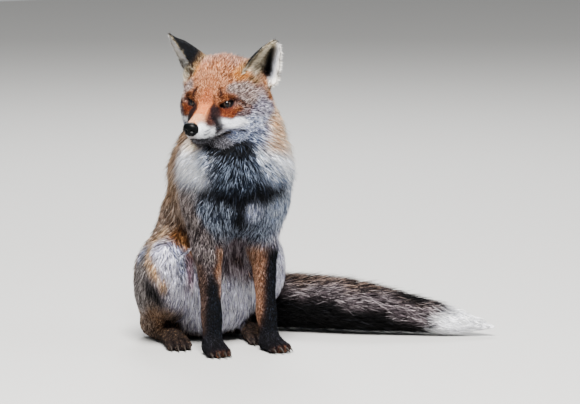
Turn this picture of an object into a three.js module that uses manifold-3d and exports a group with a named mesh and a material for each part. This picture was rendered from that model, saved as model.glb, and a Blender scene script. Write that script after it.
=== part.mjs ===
// A red fox, life size, sitting on its haunches with its head turned to its right and its brush laid
// out to its left. Millimetres, +Z up. The fox faces -Y, so its left side is +X.
//
// The body is built from named masses, rounded bodies that melt into each other as muscle does under
// a winter coat. Their joined surface is the outline of the coat. It is made whole, then parted into
// the head, neck, trunk, legs and paws by thin straight cuts.
import * as THREE from "three";
import { mergeVertices } from "three/addons/utils/BufferGeometryUtils.js";
import Module from "manifold-3d";

const wasm = await Module();
wasm.setup();

// ---------------------------------------------------------------- driving dimensions
const gap = 0.35; // between two pieces that touch
const nestGap = 1; // between a piece and the faceted body that it grows from
const floorFlat = 0; // all that touches the floor is cut at this height
const headTurn = -48; // degrees, towards the fox's right
const headNod = 7; // degrees, nose down
const headAt = [-21, 36, 391]; // middle of the skull, at the height of the eyes
const eyeRadius = 9.8;
const eyeAt = [26.2, -34.5, 2.5]; // left eye's middle, in the head's own frame
const socketAt = [30, -47, 2.5];
const socketRadii = [13, 14, 7.2];
const noseAt = [0, -112, -19.5];
const noseRadii = [11.5, 8.5, 10.8];

// Joints of the limbs. The two sides differ a little, as they do in a sitting fox.
const side = {
  left: {
    sign: 1,
    shoulder: [50, 30, 236],
    elbow: [46, 28, 180],
    wrist: [42, 6, 58],
    forepaw: [45, -8, 0],
    forepawTurn: 8,
    hip: [60, 124, 104],
    knee: [78, 88, 132],
    hock: [64, 186, 26],
    hindpaw: [52, 70, 0],
    hindpawTurn: -4,
  },
  right: {
    sign: -1,
    shoulder: [-52, 30, 236],
    elbow: [-48, 28, 180],
    wrist: [-50, 6, 58],
    forepaw: [-52, -8, 0],
    forepawTurn: -4,
    hip: [-78, 126, 104],
    knee: [-102, 68, 138],
    hock: [-80, 188, 26],
    hindpaw: [-82, 74, 0],
    hindpawTurn: -10,
  },
};

// ---------------------------------------------------------------- masses and how they blend
const vector = ([x, y, z]) => new THREE.Vector3(x, y, z);

// Every mass is a function that gives the distance of a point from its surface, negative inside.
// A ball is an ellipsoid; turned is its Euler angles in degrees.
function ball(at, radii, turned = [0, 0, 0]) {
  const [a, b, c] = radii;
  const turn = new THREE.Euler(...turned.map(THREE.MathUtils.degToRad));
  const inward = new THREE.Matrix4()
    .compose(vector(at), new THREE.Quaternion().setFromEuler(turn), new THREE.Vector3(1, 1, 1))
    .invert();
  const q = new THREE.Vector3();
  return (p) => {
    q.copy(p).applyMatrix4(inward);
    const near = Math.hypot(q.x / a, q.y / b, q.z / c);
    const slope = Math.hypot(q.x / (a * a), q.y / (b * b), q.z / (c * c));
    return slope < 1e-9 ? -Math.min(a, b, c) : (near * (near - 1)) / slope;
  };
}

// A bar is a round tapered bar with ball ends.
function bar(from, to, fromRadius, toRadius) {
  const start = vector(from);
  const along = vector(to).sub(start);
  const q = new THREE.Vector3();
  return (p) => {
    q.copy(p).sub(start);
    const share = THREE.MathUtils.clamp(q.dot(along) / along.lengthSq(), 0, 1);
    return q.addScaledVector(along, -share).length() - THREE.MathUtils.lerp(fromRadius, toRadius, share);
  };
}

// The smaller of two distances, with the crease between them filled over a width of blend.
function melt(a, b, blend) {
  const near = Math.max(blend - Math.abs(a - b), 0) / blend;
  return Math.min(a, b) - (near * near * blend) / 4;
}
const join = (masses, blend) => (p) => masses.reduce((d, mass) => melt(d, mass(p), blend), 1e3);

const mirrored = ([x, y, z], sign) => [x * sign, y, z];
const bothSides = (make) => [make(1), make(-1)];

// ---------------------------------------------------------------- head, in its own frame
const headFrame = new THREE.Group();
headFrame.position.set(...headAt);
headFrame.rotation.set(
  THREE.MathUtils.degToRad(headNod), 0, THREE.MathUtils.degToRad(headTurn), "ZXY");
headFrame.updateMatrixWorld(true);
const intoHead = headFrame.matrixWorld.clone().invert();

const skull = join([
  ball([0, 8, 22], [43, 52, 46]), // cranium with its upright crown hair
  ball([0, -15, 14], [36, 31, 28]), // forehead
  ball([0, 42, 8], [44, 34, 42]), // back of the head
  ball([0, 6, -34], [44, 46, 30]), // throat between the jaws
  ...bothSides((s) => ball([s * 28, 4, 2], [36, 38, 34])), // temples
  ...bothSides((s) => ball([s * 33, 4, -24], [29, 36, 27])), // cheeks
  ...bothSides((s) => ball([s * 44, 30, -18], [27, 28, 34])), // ruff behind the cheeks
  ...bothSides((s) => ball([s * 36, 22, -44], [29, 30, 30])), // ruff below the cheeks
  ...bothSides((s) => ball([s * 34, 32, 33], [22, 22, 23])), // ear roots
  ball([54, 28, 12], [14, 18, 17]), ball([-60, 30, 12], [14, 18, 17]), // below the ears' outer rims
  ball([-68, 43, 18], [11, 12, 12]), ball([-73, 44, 23], [8, 9, 9]), ball([-67, 41, 31], [9, 10, 10]), ball([-59, 45, 41], [9, 8, 9]), // right ear's root
  ...bothSides((s) => bar([s * 17, -50, -14], [s * 36, -18, -8], 14, 22)), // cheekbones
  ...bothSides((s) => ball([s * 23, -34, 15], [17, 15, 9], [0, s * 12, 0])), // brows
], 14);
const muzzle = join([
  bar([0, -101, -20], [0, -46, -12], 11, 19), // bridge of the nose
  ...bothSides((s) => bar([s * 5, -99, -28], [s * 15, -48, -29], 9.5, 15)), // upper lips
], 10);
const jaw = bar([0, -90, -41], [0, -30, -41], 8.5, 20);
const headOwn = (p) => melt(melt(skull(p), muzzle(p), 18), jaw(p), 5);
const inHead = new THREE.Vector3();
const head = (p) => headOwn(inHead.copy(p).applyMatrix4(intoHead));

// ---------------------------------------------------------------- neck, trunk and haunches
const neck = join([
  bar([-10, 48, 375], [0, 46, 300], 58, 70),
  ball([20, 54, 350], [64, 58, 52]), // the side the skin folds towards as the head turns
  ball([2, 28, 300], [77, 64, 44]), // winter ruff
], 26);
const trunk = join([
  ball([0, 12, 262], [76, 64, 66]), // breast
  ball([0, 20, 228], [58, 48, 44]), // its point, between the forelegs
  bar([0, 62, 278], [0, 122, 185], 74, 80), // ribs and back
  ball([-8, 92, 262], [72, 58, 60]), // shoulder blades
  bar([0, 122, 185], [-6, 150, 100], 80, 86), // loins
  ball([-6, 164, 60], [76, 64, 64]), // rump
  ball([-4, 102, 98], [64, 50, 78]), // belly
  ...bothSides((s) => ball([s * 50, 30, 246], [33, 40, 56])), // shoulders
], 26);

function haunchOf({ sign, hip, knee, hock }) {
  return join([
    ball(hip, [50, 72, 66], [0, 0, sign * 8]), // thigh
    ball(knee, [28, 32, 40]),
    bar([knee[0], knee[1] + 14, knee[2] - 30], hock, 28, 19), // shank
  ], 22);
}

// A paw, in its own frame: the toes point along -Y and the sole is at z = 0.
const toeSpots = [-14, -5, 5, 14];
const toeReach = [23, 30, 30, 23];
const toeRadius = 7.4;
const paw = join([
  ball([0, 4, 11], [18.5, 22, 13]), // pad and knuckles
  ...toeSpots.map((x, i) => bar([x * 0.8, -6, 12], [x, -toeReach[i], 7], 8.3, toeRadius)),
], 3.5);
const clawSize = { length: 13, root: 2.6, tip: 0.5, drop: 3.5 };
function clawsOf(at, turn) {
  const frame = new THREE.Matrix4().makeRotationZ(THREE.MathUtils.degToRad(turn)).setPosition(...at);
  return toeSpots.map((x, i) => {
    const cone = new THREE.CylinderGeometry(clawSize.root, clawSize.tip, clawSize.length, 5);
    cone.rotateX(Math.PI / 2 - clawSize.drop / clawSize.length);
    cone.translate(x * 1.06, -toeReach[i] - toeRadius - 1, 6.5);
    return manifoldOf(cone.applyMatrix4(frame));
  });
}

function placed(mass, at, turn) {
  const frame = new THREE.Matrix4()
    .makeRotationZ(THREE.MathUtils.degToRad(turn))
    .setPosition(...at)
    .invert();
  const q = new THREE.Vector3();
  return (p) => mass(q.copy(p).applyMatrix4(frame));
}

function forelegOf(limb) {
  const { shoulder, elbow, wrist, forepaw, forepawTurn } = limb;
  const heel = [forepaw[0], forepaw[1] + 6, 16];
  const arm = join([
    bar(shoulder, elbow, 36, 26),
    bar(elbow, wrist, 24, 15),
    bar(wrist, heel, 15, 14.5),
  ], 14);
  const foot = placed(paw, forepaw, forepawTurn);
  return (p) => melt(arm(p), foot(p), 8);
}

function hindfootOf(limb) {
  const { hock, hindpaw, hindpawTurn } = limb;
  const foot = placed(paw, hindpaw, hindpawTurn);
  const instep = bar([hock[0], hock[1] - 4, 15], [hindpaw[0], hindpaw[1] + 10, 15], 17, 14);
  return (p) => melt(instep(p), foot(p), 8);
}

// Legs melt into the body high up and stand clear of the belly lower down.
const forelegs = Object.fromEntries(Object.entries(side).map(([name, limb]) => [name, forelegOf(limb)]));
const haunches = Object.fromEntries(Object.entries(side).map(([name, limb]) => [name, haunchOf(limb)]));
const hindfeet = Object.fromEntries(Object.entries(side).map(([name, limb]) => [name, hindfootOf(limb)]));
const clearOfBelly = (p, low, high, wide) => 2 + wide * THREE.MathUtils.smoothstep(p.z, low, high);

function body(p) {
  let d = melt(trunk(p), neck(p), 34);
  d = melt(d, head(p), 20);
  for (const name of ["left", "right"]) {
    const leg = melt(haunches[name](p), hindfeet[name](p), 10);
    d = melt(d, leg, clearOfBelly(p, 25, 120, 26));
    d = melt(d, forelegs[name](p), clearOfBelly(p, 160, 215, 24));
  }
  return d;
}

// ---------------------------------------------------------------- from masses to solids
function manifoldOf(geometry) {
  const bare = new THREE.BufferGeometry().setAttribute("position", geometry.getAttribute("position"));
  bare.setIndex(geometry.index);
  const merged = mergeVertices(bare, 1e-4);
  return new wasm.Manifold(new wasm.Mesh({
    numProp: 3,
    vertProperties: merged.attributes.position.array,
    triVerts: new Uint32Array(merged.index.array),
  }));
}

// Edges shorter than a twentieth of a millimetre close up, and triangles without width go.
function geometryOf(solid) {
  const mesh = solid.getMesh();
  const corner = (i) => new THREE.Vector3().fromArray(mesh.vertProperties, i * mesh.numProp);
  const stands = Uint32Array.from({ length: mesh.numVert }, (_, i) => i);
  const settled = (i) => (stands[i] === i ? i : settled(stands[i]));
  mesh.triVerts.forEach((a, n) => {
    const b = mesh.triVerts[n % 3 === 2 ? n - 2 : n + 1];
    if (corner(a).distanceTo(corner(b)) < 0.05) stands[settled(a)] = settled(b);
  });
  const index = [];
  for (let i = 0; i < mesh.triVerts.length; i += 3) {
    const corners = [0, 1, 2].map((n) => settled(mesh.triVerts[i + n]));
    if (new Set(corners).size === 3) index.push(...corners);
  }
  const used = [...new Set(index)];
  const place = new Map(used.map((i, n) => [i, n]));
  const ring = index.map((i) => place.get(i));
  return new THREE.BufferGeometry().setFromPoints(setApart(used.map(corner), ring)).setIndex(ring);
}

// Two corners of one surface that share a spot each draw back a little towards their own neighbours.
function setApart(points, index) {
  const spots = new Map();
  points.forEach((p, i) => {
    const spot = p.toArray().map((v) => v.toFixed(2)).join();
    spots.set(spot, [...(spots.get(spot) ?? []), i]);
  });
  const shared = [...spots.values()].filter((at) => at.length > 1).flat();
  const moved = shared.map((i) => {
    const near = new THREE.Vector3();
    let count = 0;
    index.forEach((k, n) => {
      if (k !== i) return;
      const first = n - (n % 3);
      for (let m = first; m < first + 3; m += 1) near.add(points[index[m]]);
      count += 3;
    });
    return near.divideScalar(count).sub(points[i]).setLength(0.15).add(points[i]);
  });
  shared.forEach((i, n) => points[i].copy(moved[n]));
  return points;
}

// The closed surface where a distance function is zero, inside the box from low to high. Each grid
// cell that the surface crosses gets one corner, and each crossed grid edge one quad of four corners.
function surfaceOf(distance, low, high, cell) {
  const count = low.map((v, axis) => Math.ceil((high[axis] - v) / cell) + 1);
  const at = (i, j, k) => (k * count[1] + j) * count[0] + i;
  const values = new Float64Array(count[0] * count[1] * count[2]);
  const p = new THREE.Vector3();
  const gridPoint = (i, j, k) => p.set(low[0] + i * cell, low[1] + j * cell, low[2] + k * cell);
  const eachCell = (cut, visit) => {
    for (let k = 0; k < count[2] - cut; k += 1)
      for (let j = 0; j < count[1] - cut; j += 1)
        for (let i = 0; i < count[0] - cut; i += 1) visit(i, j, k);
  };
  const onEdge = (...ijk) => ijk.some((n, axis) => n === 0 || n === count[axis] - 1);
  eachCell(0, (i, j, k) => {
    const d = distance(gridPoint(i, j, k));
    values[at(i, j, k)] = onEdge(i, j, k) ? Math.max(d, cell / 2) : d;
  });

  const positions = [];
  const cornerOf = new Map();
  const gradient = new THREE.Vector3();
  const probe = new THREE.Vector3();
  // Moves a corner onto the surface, along the slope of the distance.
  const settle = (corner) => {
    const step = 0.5;
    for (let turn = 0; turn < 3; turn += 1) {
      const here = distance(probe.copy(corner));
      for (const axis of ["x", "y", "z"]) {
        probe.copy(corner)[axis] += step;
        gradient[axis] = (distance(probe) - here) / step;
      }
      const move = THREE.MathUtils.clamp(here / Math.max(gradient.lengthSq(), 0.2), -cell / 3, cell / 3);
      corner.addScaledVector(gradient, -move);
    }
  };
  eachCell(1, (i, j, k) => {
    const middle = new THREE.Vector3();
    let crossings = 0;
    for (let axis = 0; axis < 3; axis += 1) {
      for (let n = 0; n < 4; n += 1) {
        const a = [i, j, k];
        a[(axis + 1) % 3] += n & 1;
        a[(axis + 2) % 3] += n >> 1;
        const b = [...a];
        b[axis] += 1;
        const [va, vb] = [values[at(...a)], values[at(...b)]];
        if (va < 0 === vb < 0) continue;
        a[axis] += va / (va - vb);
        middle.add(gridPoint(...a));
        crossings += 1;
      }
    }
    if (!crossings) return;
    const corner = middle.divideScalar(crossings);
    if (!onEdge(i, j, k) && !onEdge(i + 1, j + 1, k + 1)) settle(corner);
    cornerOf.set(at(i, j, k), positions.length / 3);
    positions.push(corner.x, corner.y, corner.z);
  });

  const index = [];
  const point = (n) => new THREE.Vector3().fromArray(positions, n * 3);
  eachCell(1, (i, j, k) => {
    for (let axis = 0; axis < 3; axis += 1) {
      const here = [i, j, k];
      const [u, v] = [(axis + 1) % 3, (axis + 2) % 3];
      if (here[u] === 0 || here[v] === 0) continue;
      const next = [...here];
      next[axis] += 1;
      const inside = values[at(...here)] < 0;
      if (inside === values[at(...next)] < 0) continue;
      const ring = [[0, 0], [1, 0], [1, 1], [0, 1]].map(([du, dv]) => {
        const c = [...here];
        c[u] -= du;
        c[v] -= dv;
        return cornerOf.get(at(...c));
      });
      if (!inside) ring.reverse();
      const [a, b, c, d] = ring;
      const short = point(a).distanceTo(point(c)) < point(b).distanceTo(point(d));
      index.push(...(short ? [a, b, c, a, c, d] : [a, b, d, b, c, d]));
    }
  });
  const geometry = new THREE.BufferGeometry();
  geometry.setAttribute("position", new THREE.Float32BufferAttribute(positions, 3));
  geometry.setIndex(index);
  return manifoldOf(geometry);
}

// A thin cut: a square plate as thick as the gap, centred on a point and square to a direction.
function thinCut(at, towards, size = 900) {
  const plate = new THREE.BoxGeometry(size, size, gap);
  plate.applyQuaternion(new THREE.Quaternion().setFromUnitVectors(
    new THREE.Vector3(0, 0, 1), vector(towards).normalize()));
  plate.translate(...at);
  return manifoldOf(plate);
}
function blockAbove(height) {
  const block = new THREE.BoxGeometry(1200, 1200, 1200);
  block.translate(0, 0, height + 600);
  return manifoldOf(block);
}
const floor = blockAbove(floorFlat);

// Cuts a solid apart and keeps the lump whose middle is nearest to a point.
function partOf(solid, cuts, seed) {
  const lumps = cuts.reduce((left, cut) => left.subtract(cut), solid.intersect(floor)).decompose();
  const middle = (lump) => {
    const { min, max } = lump.boundingBox();
    return vector(min).add(vector(max)).multiplyScalar(0.5);
  };
  const apart = (lump) => middle(lump).distanceTo(vector(seed)) + (lump.volume() < 500 ? 1e4 : 0);
  return lumps.sort((a, b) => apart(a) - apart(b))[0];
}

// ---------------------------------------------------------------- cuts
const headLocal = (at) => vector(at).applyMatrix4(headFrame.matrixWorld).toArray();
const headDirection = (towards) => vector(towards).transformDirection(headFrame.matrixWorld).toArray();
const headCut = thinCut(headLocal([0, 0, -35]), headDirection([0, -0.35, 0.94]));
const muzzleCut = thinCut(headLocal([0, -58, -20]), headDirection([0, -1, 0.12]));
const neckCut = thinCut([0, 40, 290], [0, -0.15, 1]);
const elbowSeam = ({ elbow, wrist }) => vector(elbow).lerp(vector(wrist), 0.18);
const foreward = ({ elbow, wrist }) => vector(wrist).sub(vector(elbow)).normalize();
const elbowCut = (limb) => thinCut(elbowSeam(limb).toArray(), foreward(limb).toArray(), 76);
const wristCut = ({ wrist }) => thinCut([wrist[0], wrist[1], 46], [0, 0, 1], 70);
const ankleCut = ({ hindpaw }) => thinCut([hindpaw[0], hindpaw[1] + 24, 15], [0, 1, 0], 66);
// Room for the finer solids of a foreleg and a hind paw, taken out of the body.
function legRoom(limb) {
  const [reach, down] = [220, foreward(limb)];
  const room = new THREE.CylinderGeometry(27, 27, reach, 16);
  room.applyQuaternion(new THREE.Quaternion().setFromUnitVectors(new THREE.Vector3(0, -1, 0), down));
  room.translate(...elbowSeam(limb).addScaledVector(down, (reach - gap) / 2).toArray());
  return manifoldOf(room);
}
function pawRoom({ hindpaw: [x, y] }) {
  const room = new THREE.BoxGeometry(60, 84, 60);
  room.translate(x, y + 24 - 42, 4);
  return manifoldOf(room);
}
// The haunch is parted from the trunk by a leaning cut beside the belly, closed at the top.
const haunchCut = ({ sign, knee }) =>
  thinCut([knee[0] * 0.6 + sign * 12, 130, 60], [sign, -0.1, -0.4], 420);

// ---------------------------------------------------------------- tail
// The brush: a round loft along its bone, widest past its middle and drawn out to a point.
const tailBone = new THREE.CatmullRomCurve3([
  [-4, 196, 50], [36, 208, 46], [92, 194, 46], [150, 152, 46], [215, 98, 44.5],
  [280, 52, 37], [333, 18, 29], [380, -12, 21], [423, -40, 15],
].map(vector));
const tailRadii = [30, 36, 43, 46.5, 45, 37, 29, 17.5, 2.5];
function tailRadius(share) {
  const place = share * (tailRadii.length - 1);
  const i = Math.min(Math.floor(place), tailRadii.length - 2);
  return THREE.MathUtils.lerp(tailRadii[i], tailRadii[i + 1], THREE.MathUtils.smootherstep(place - i, -0.4, 1.4));
}

function loft(bone, radiusAt, rings, sides) {
  const positions = [];
  const index = [];
  const up = new THREE.Vector3(0, 0, 1);
  for (let r = 0; r <= rings; r += 1) {
    const share = r / rings;
    const middle = bone.getPoint(share);
    const across = bone.getTangent(share).cross(up).normalize();
    const radius = radiusAt(share);
    for (let s = 0; s < sides; s += 1) {
      const angle = (s / sides) * 2 * Math.PI;
      const spot = middle.clone()
        .addScaledVector(across, radius * Math.cos(angle))
        .addScaledVector(up, radius * Math.sin(angle));
      positions.push(...spot.toArray());
    }
  }
  const first = positions.push(...bone.getPoint(0).toArray()) / 3 - 1;
  const last = positions.push(...bone.getPoint(1).toArray()) / 3 - 1;
  for (let s = 0; s < sides; s += 1) {
    const t = (s + 1) % sides;
    for (let r = 0; r < rings; r += 1) {
      const [a, b, c, d] = [r * sides + s, r * sides + t, (r + 1) * sides + t, (r + 1) * sides + s];
      index.push(a, c, b, a, d, c);
    }
    index.push(first, s, t, last, rings * sides + t, rings * sides + s);
  }
  const geometry = new THREE.BufferGeometry();
  geometry.setAttribute("position", new THREE.Float32BufferAttribute(positions, 3));
  geometry.setIndex(index);
  return manifoldOf(geometry);
}

// ---------------------------------------------------------------- ears
// An ear is a pointed cup: an arc of thick skin about its own axis, open towards the front and side.
const ear = {
  root: { left: [47.6, 33.7, 32.8], right: [-50.6, 41.5, 36.2] },
  tip: { left: [91.5, 15.7, 94.3], right: [-89.1, 13.5, 97.9] },
  opening: { left: 34, right: 46 }, // degrees from straight ahead, outwards
  halfWidths: [23, 29, 26.3, 22.9, 19, 13.8, 5.7],
  depths: [37, 36, 32, 27, 20.9, 11.1, 3.5], // from the middle of the cup to its back
  forward: [14.7, 15.4, 13.9, 11.7, 9.4, 6.3, 2.3], // of the middle of the cup, from its axis
  curl: [107, 98, 88, 88, 88, 86, 72], // degrees, from the ear's back to each rim
  thickness: 5.5,
};
function earGeometry(name) {
  const { sign } = side[name];
  const root = vector(ear.root[name]);
  const axis = vector(ear.tip[name]).sub(root);
  const turn = THREE.MathUtils.degToRad(ear.opening[name]) * sign;
  const open = new THREE.Vector3(Math.sin(turn), -Math.cos(turn), 0);
  open.addScaledVector(axis, -open.dot(axis) / axis.lengthSq()).normalize();
  const across = new THREE.Vector3().crossVectors(axis, open).normalize();
  const rows = ear.halfWidths.length - 1;
  const steps = 8;
  const positions = [];
  for (const inner of [0, 1]) {
    for (let r = 0; r <= rows; r += 1) {
      const share = r / rows;
      const curl = THREE.MathUtils.degToRad(ear.curl[r]);
      for (let s = 0; s <= steps; s += 1) {
        const place = (s / steps) * 2 - 1;
        const angle = place * curl;
        const thick = inner * ear.thickness * (1 - 0.55 * share) * (1 - 0.7 * place ** 4);
        const wide = Math.max(ear.halfWidths[r] - thick, ear.halfWidths[r] * 0.35);
        const deep = Math.max(ear.depths[r] - thick, ear.depths[r] * 0.35);
        const spot = root.clone()
          .addScaledVector(axis, share)
          .addScaledVector(open, ear.forward[r] - deep * Math.cos(angle))
          .addScaledVector(across, wide * Math.sin(angle));
        positions.push(...spot.toArray());
      }
    }
  }
  const at = (inner, r, s) => (inner * (rows + 1) + r) * (steps + 1) + s;
  const index = [];
  const quad = (a, b, c, d) => index.push(a, c, b, a, d, c);
  for (let r = 0; r < rows; r += 1) {
    for (let s = 0; s < steps; s += 1) {
      quad(at(0, r, s), at(0, r, s + 1), at(0, r + 1, s + 1), at(0, r + 1, s));
      quad(at(1, r, s), at(1, r + 1, s), at(1, r + 1, s + 1), at(1, r, s + 1));
    }
    quad(at(0, r, 0), at(0, r + 1, 0), at(1, r + 1, 0), at(1, r, 0));
    quad(at(0, r, steps), at(1, r, steps), at(1, r + 1, steps), at(0, r + 1, steps));
  }
  for (let s = 0; s < steps; s += 1) {
    quad(at(0, 0, s), at(1, 0, s), at(1, 0, s + 1), at(0, 0, s + 1));
    quad(at(0, rows, s), at(0, rows, s + 1), at(1, rows, s + 1), at(1, rows, s));
  }
  const geometry = new THREE.BufferGeometry();
  geometry.setAttribute("position", new THREE.Float32BufferAttribute(positions, 3));
  geometry.setIndex(index);
  geometry.applyMatrix4(headFrame.matrixWorld);
  return geometry;
}

// ---------------------------------------------------------------- assembly
const fox = new THREE.Group();
const coats = {
  red: { color: 0x9c6a44, roughness: 0.85, metalness: 0 },
  grey: { color: 0x8b8178, roughness: 0.85, metalness: 0 },
  dark: { color: 0x2b2523, roughness: 0.8, metalness: 0 },
  white: { color: 0xe6e2da, roughness: 0.85, metalness: 0 },
  wet: { color: 0x101010, roughness: 0.35, metalness: 0 },
  eye: { color: 0x30241a, roughness: 0.08, metalness: 0 },
};
function add(name, solid, coat) {
  const mesh = new THREE.Mesh(geometryOf(solid), new THREE.MeshStandardMaterial(coats[coat]));
  mesh.name = name;
  fox.add(mesh);
}
const around = (at, reach) => [at.map((v, axis) => v - reach[axis]), at.map((v, axis) => v + reach[axis])];

// Head, muzzle, eyes, nose and ears.
const headBox = around(headLocal([0, -10, 5]), [132, 132, 132]);
const headWhole = surfaceOf(body, ...headBox, 11.35);
const headSwollen = surfaceOf((p) => body(p) - nestGap, ...headBox, 11.35);
function roundSolid(at, radii) {
  const geometry = new THREE.SphereGeometry(1, 10, 7);
  geometry.scale(...radii);
  geometry.translate(...at);
  return manifoldOf(geometry.applyMatrix4(headFrame.matrixWorld));
}
const swollen = (radii) => radii.map((r) => r + gap);
const noseSpace = roundSolid(noseAt, swollen(noseRadii));
let headSolid = headWhole;
for (const [name, { sign }] of Object.entries(side)) {
  const at = mirrored(eyeAt, sign);
  const radii = [eyeRadius, eyeRadius, eyeRadius];
  add(`eye_${name}`, roundSolid(at, radii), "eye");
  const socket = roundSolid(mirrored(socketAt, sign), socketRadii);
  headSolid = headSolid.subtract(roundSolid(at, swollen(radii))).subtract(socket);
  const cup = manifoldOf(earGeometry(name)).subtract(headSwollen).subtract(headWhole);
  add(`ear_${name}`, partOf(cup, [], headLocal(ear.tip[name])), "dark");
}
add("head", partOf(headSolid, [headCut, muzzleCut], headAt), "red");
const muzzleWhole = surfaceOf(head, ...around(headLocal([0, -86, -26]), [62, 62, 56]), 7.6);
add("muzzle", partOf(muzzleWhole.subtract(noseSpace), [muzzleCut, headCut], headLocal([0, -80, -28])), "red");
add("nose", roundSolid(noseAt, noseRadii), "wet");

// Neck, trunk and haunches.
const neckWhole = surfaceOf(body, [-130, -80, 240], [140, 180, 460], 20);
add("neck", partOf(neckWhole, [headCut, neckCut], [0, 40, 330]), "grey");

const bodyBox = [[-180, -100, -32], [158, 290, 360]];
const bodyCell = 21.5;
const bodyWhole = surfaceOf(body, ...bodyBox, bodyCell);
const bodySwollen = surfaceOf((p) => body(p) - nestGap, ...bodyBox, bodyCell);
const bodyCuts = [neckCut];
for (const limb of Object.values(side)) bodyCuts.push(legRoom(limb), pawRoom(limb), haunchCut(limb));
add("trunk", partOf(bodyWhole, bodyCuts, [0, 90, 150]), "grey");

// Legs and paws.
for (const [name, limb] of Object.entries(side)) {
  add(`hindleg_${name}`, partOf(bodyWhole, bodyCuts, limb.hip), "grey");
  const legBox = around([limb.elbow[0], 16, 110], [52, 62, 110]);
  const legWhole = surfaceOf(forelegs[name], ...legBox, 12);
  add(`foreleg_${name}`, partOf(legWhole, [elbowCut(limb), wristCut(limb)], [limb.elbow[0], 15, 110]), "dark");
  const feet = { forepaw: [forelegs[name], wristCut], hindpaw: [hindfeet[name], ankleCut] };
  for (const [kind, [foot, cut]] of Object.entries(feet)) {
    const at = limb[kind];
    const skin = surfaceOf(foot, ...around([at[0], at[1], 20], [46, 56, 44]), 8.5);
    const clawed = clawsOf(at, limb[`${kind}Turn`]).reduce((paw, claw) => paw.add(claw), skin);
    add(`${kind}_${name}`, partOf(clawed, [cut(limb)], at), "dark");
  }
}

// Brush, in three lengths.
const brush = loft(tailBone, tailRadius, 16, 12).subtract(bodySwollen).subtract(bodyWhole);
const tailCuts = [0.46, 0.78].map((share) =>
  thinCut(tailBone.getPoint(share).toArray(), tailBone.getTangent(share).toArray(), 110));
const lengths = { tail_base: 0.3, tail_middle: 0.62, tail_tip: 0.9 };
for (const [name, share] of Object.entries(lengths)) {
  add(name, partOf(brush, tailCuts, tailBone.getPoint(share).toArray()), name === "tail_tip" ? "white" : "dark");
}

// The origin is on the floor, in the middle of the whole.
const middle = new THREE.Box3().setFromObject(fox).getCenter(new THREE.Vector3());
for (const mesh of fox.children) mesh.geometry.translate(-middle.x, -middle.y, 0);

export default fox;
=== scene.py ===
import math

import bmesh
import bpy
import numpy as np
from mathutils import Matrix, Vector
from mathutils.bvhtree import BVHTree
from mathutils.kdtree import KDTree


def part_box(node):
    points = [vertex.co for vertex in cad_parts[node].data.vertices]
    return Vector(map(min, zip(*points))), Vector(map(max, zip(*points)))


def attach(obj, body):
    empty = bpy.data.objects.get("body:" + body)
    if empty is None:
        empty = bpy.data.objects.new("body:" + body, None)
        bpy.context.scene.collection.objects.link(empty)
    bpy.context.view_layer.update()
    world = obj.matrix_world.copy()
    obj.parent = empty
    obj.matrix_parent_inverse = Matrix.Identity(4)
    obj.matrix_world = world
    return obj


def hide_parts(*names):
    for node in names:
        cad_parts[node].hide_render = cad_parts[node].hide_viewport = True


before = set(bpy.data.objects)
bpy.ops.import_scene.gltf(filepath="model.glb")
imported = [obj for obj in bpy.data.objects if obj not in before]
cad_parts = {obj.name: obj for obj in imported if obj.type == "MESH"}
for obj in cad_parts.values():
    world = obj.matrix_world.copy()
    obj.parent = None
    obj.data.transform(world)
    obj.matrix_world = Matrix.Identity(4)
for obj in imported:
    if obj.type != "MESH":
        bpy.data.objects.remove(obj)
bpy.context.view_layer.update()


# ---- The hide ----------------------------------------------------------------------------------
# The hide is one closed skin over the whole sitting animal, from lips to brush, with no seam.
# It is cast over the body parts, evened out and sunk below their surface by the depth of the coat.

flesh = [
    "head", "muzzle", "ear_left", "ear_right", "neck", "trunk", "foreleg_left", "foreleg_right",
    "forepaw_left", "forepaw_right", "hindleg_left", "hindleg_right", "hindpaw_left",
    "hindpaw_right", "tail_base", "tail_middle", "tail_tip",
]  # fmt: skip

# Everything is measured in millimetres from the floor between the forepaws: x to the fox's left,
# y to its back, z up. The eyes carry these measures into the frame's own place.
head_middle = np.array([-21.0, 36.0, 391.0])
head_turn, head_bow = math.radians(-48), math.radians(7)
head_left = np.array([math.cos(head_turn), math.sin(head_turn), 0])
head_back = np.array([-math.sin(head_turn), math.cos(head_turn), 0]) * math.cos(head_bow)
head_back[2] = math.sin(head_bow)
head_up = np.cross(head_left, head_back)
head_axes = np.stack([head_left, head_back, head_up], 1)
eye_spots = {k: head_middle + head_axes @ np.array([26.2 * k, -34.5, 2.5]) for k in (1, -1)}
eye_boxes = [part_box("eye_left"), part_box("eye_right")]
eyes_middle = np.mean([(np.array(low) + np.array(high)) / 2 for low, high in eye_boxes], 0)
floor_spot = 1000 * eyes_middle - (eye_spots[1] + eye_spots[-1]) / 2


def in_head(points):
    """Points measured from the head's middle, along its own axes."""
    return (points - head_middle) @ head_axes


def from_head(points):
    """Points measured on the head, taken back to the fox's own measures."""
    return head_middle + np.asarray(points, float) @ head_axes.T


def add_object(name, data):
    """A new object in the scene, of this mesh, camera or lamp."""
    made = bpy.data.objects.new(name, data)
    bpy.context.scene.collection.objects.link(made)
    return made


def cast(name, points, corners, sides):
    """A mesh object from points in millimetres and the corner numbers of its faces."""
    mesh = bpy.data.meshes.new(name)
    mesh.vertices.add(len(points))
    mesh.vertices.foreach_set("co", ((points + floor_spot) / 1000).astype(np.float32).ravel())
    mesh.loops.add(len(corners))
    mesh.loops.foreach_set("vertex_index", np.asarray(corners, np.int32))
    mesh.polygons.add(len(corners) // sides)
    mesh.polygons.foreach_set("loop_start", np.arange(0, len(corners), sides, dtype=np.int32))
    mesh.update(calc_edges=True)
    mesh.validate()
    return add_object(name, mesh)


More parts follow.
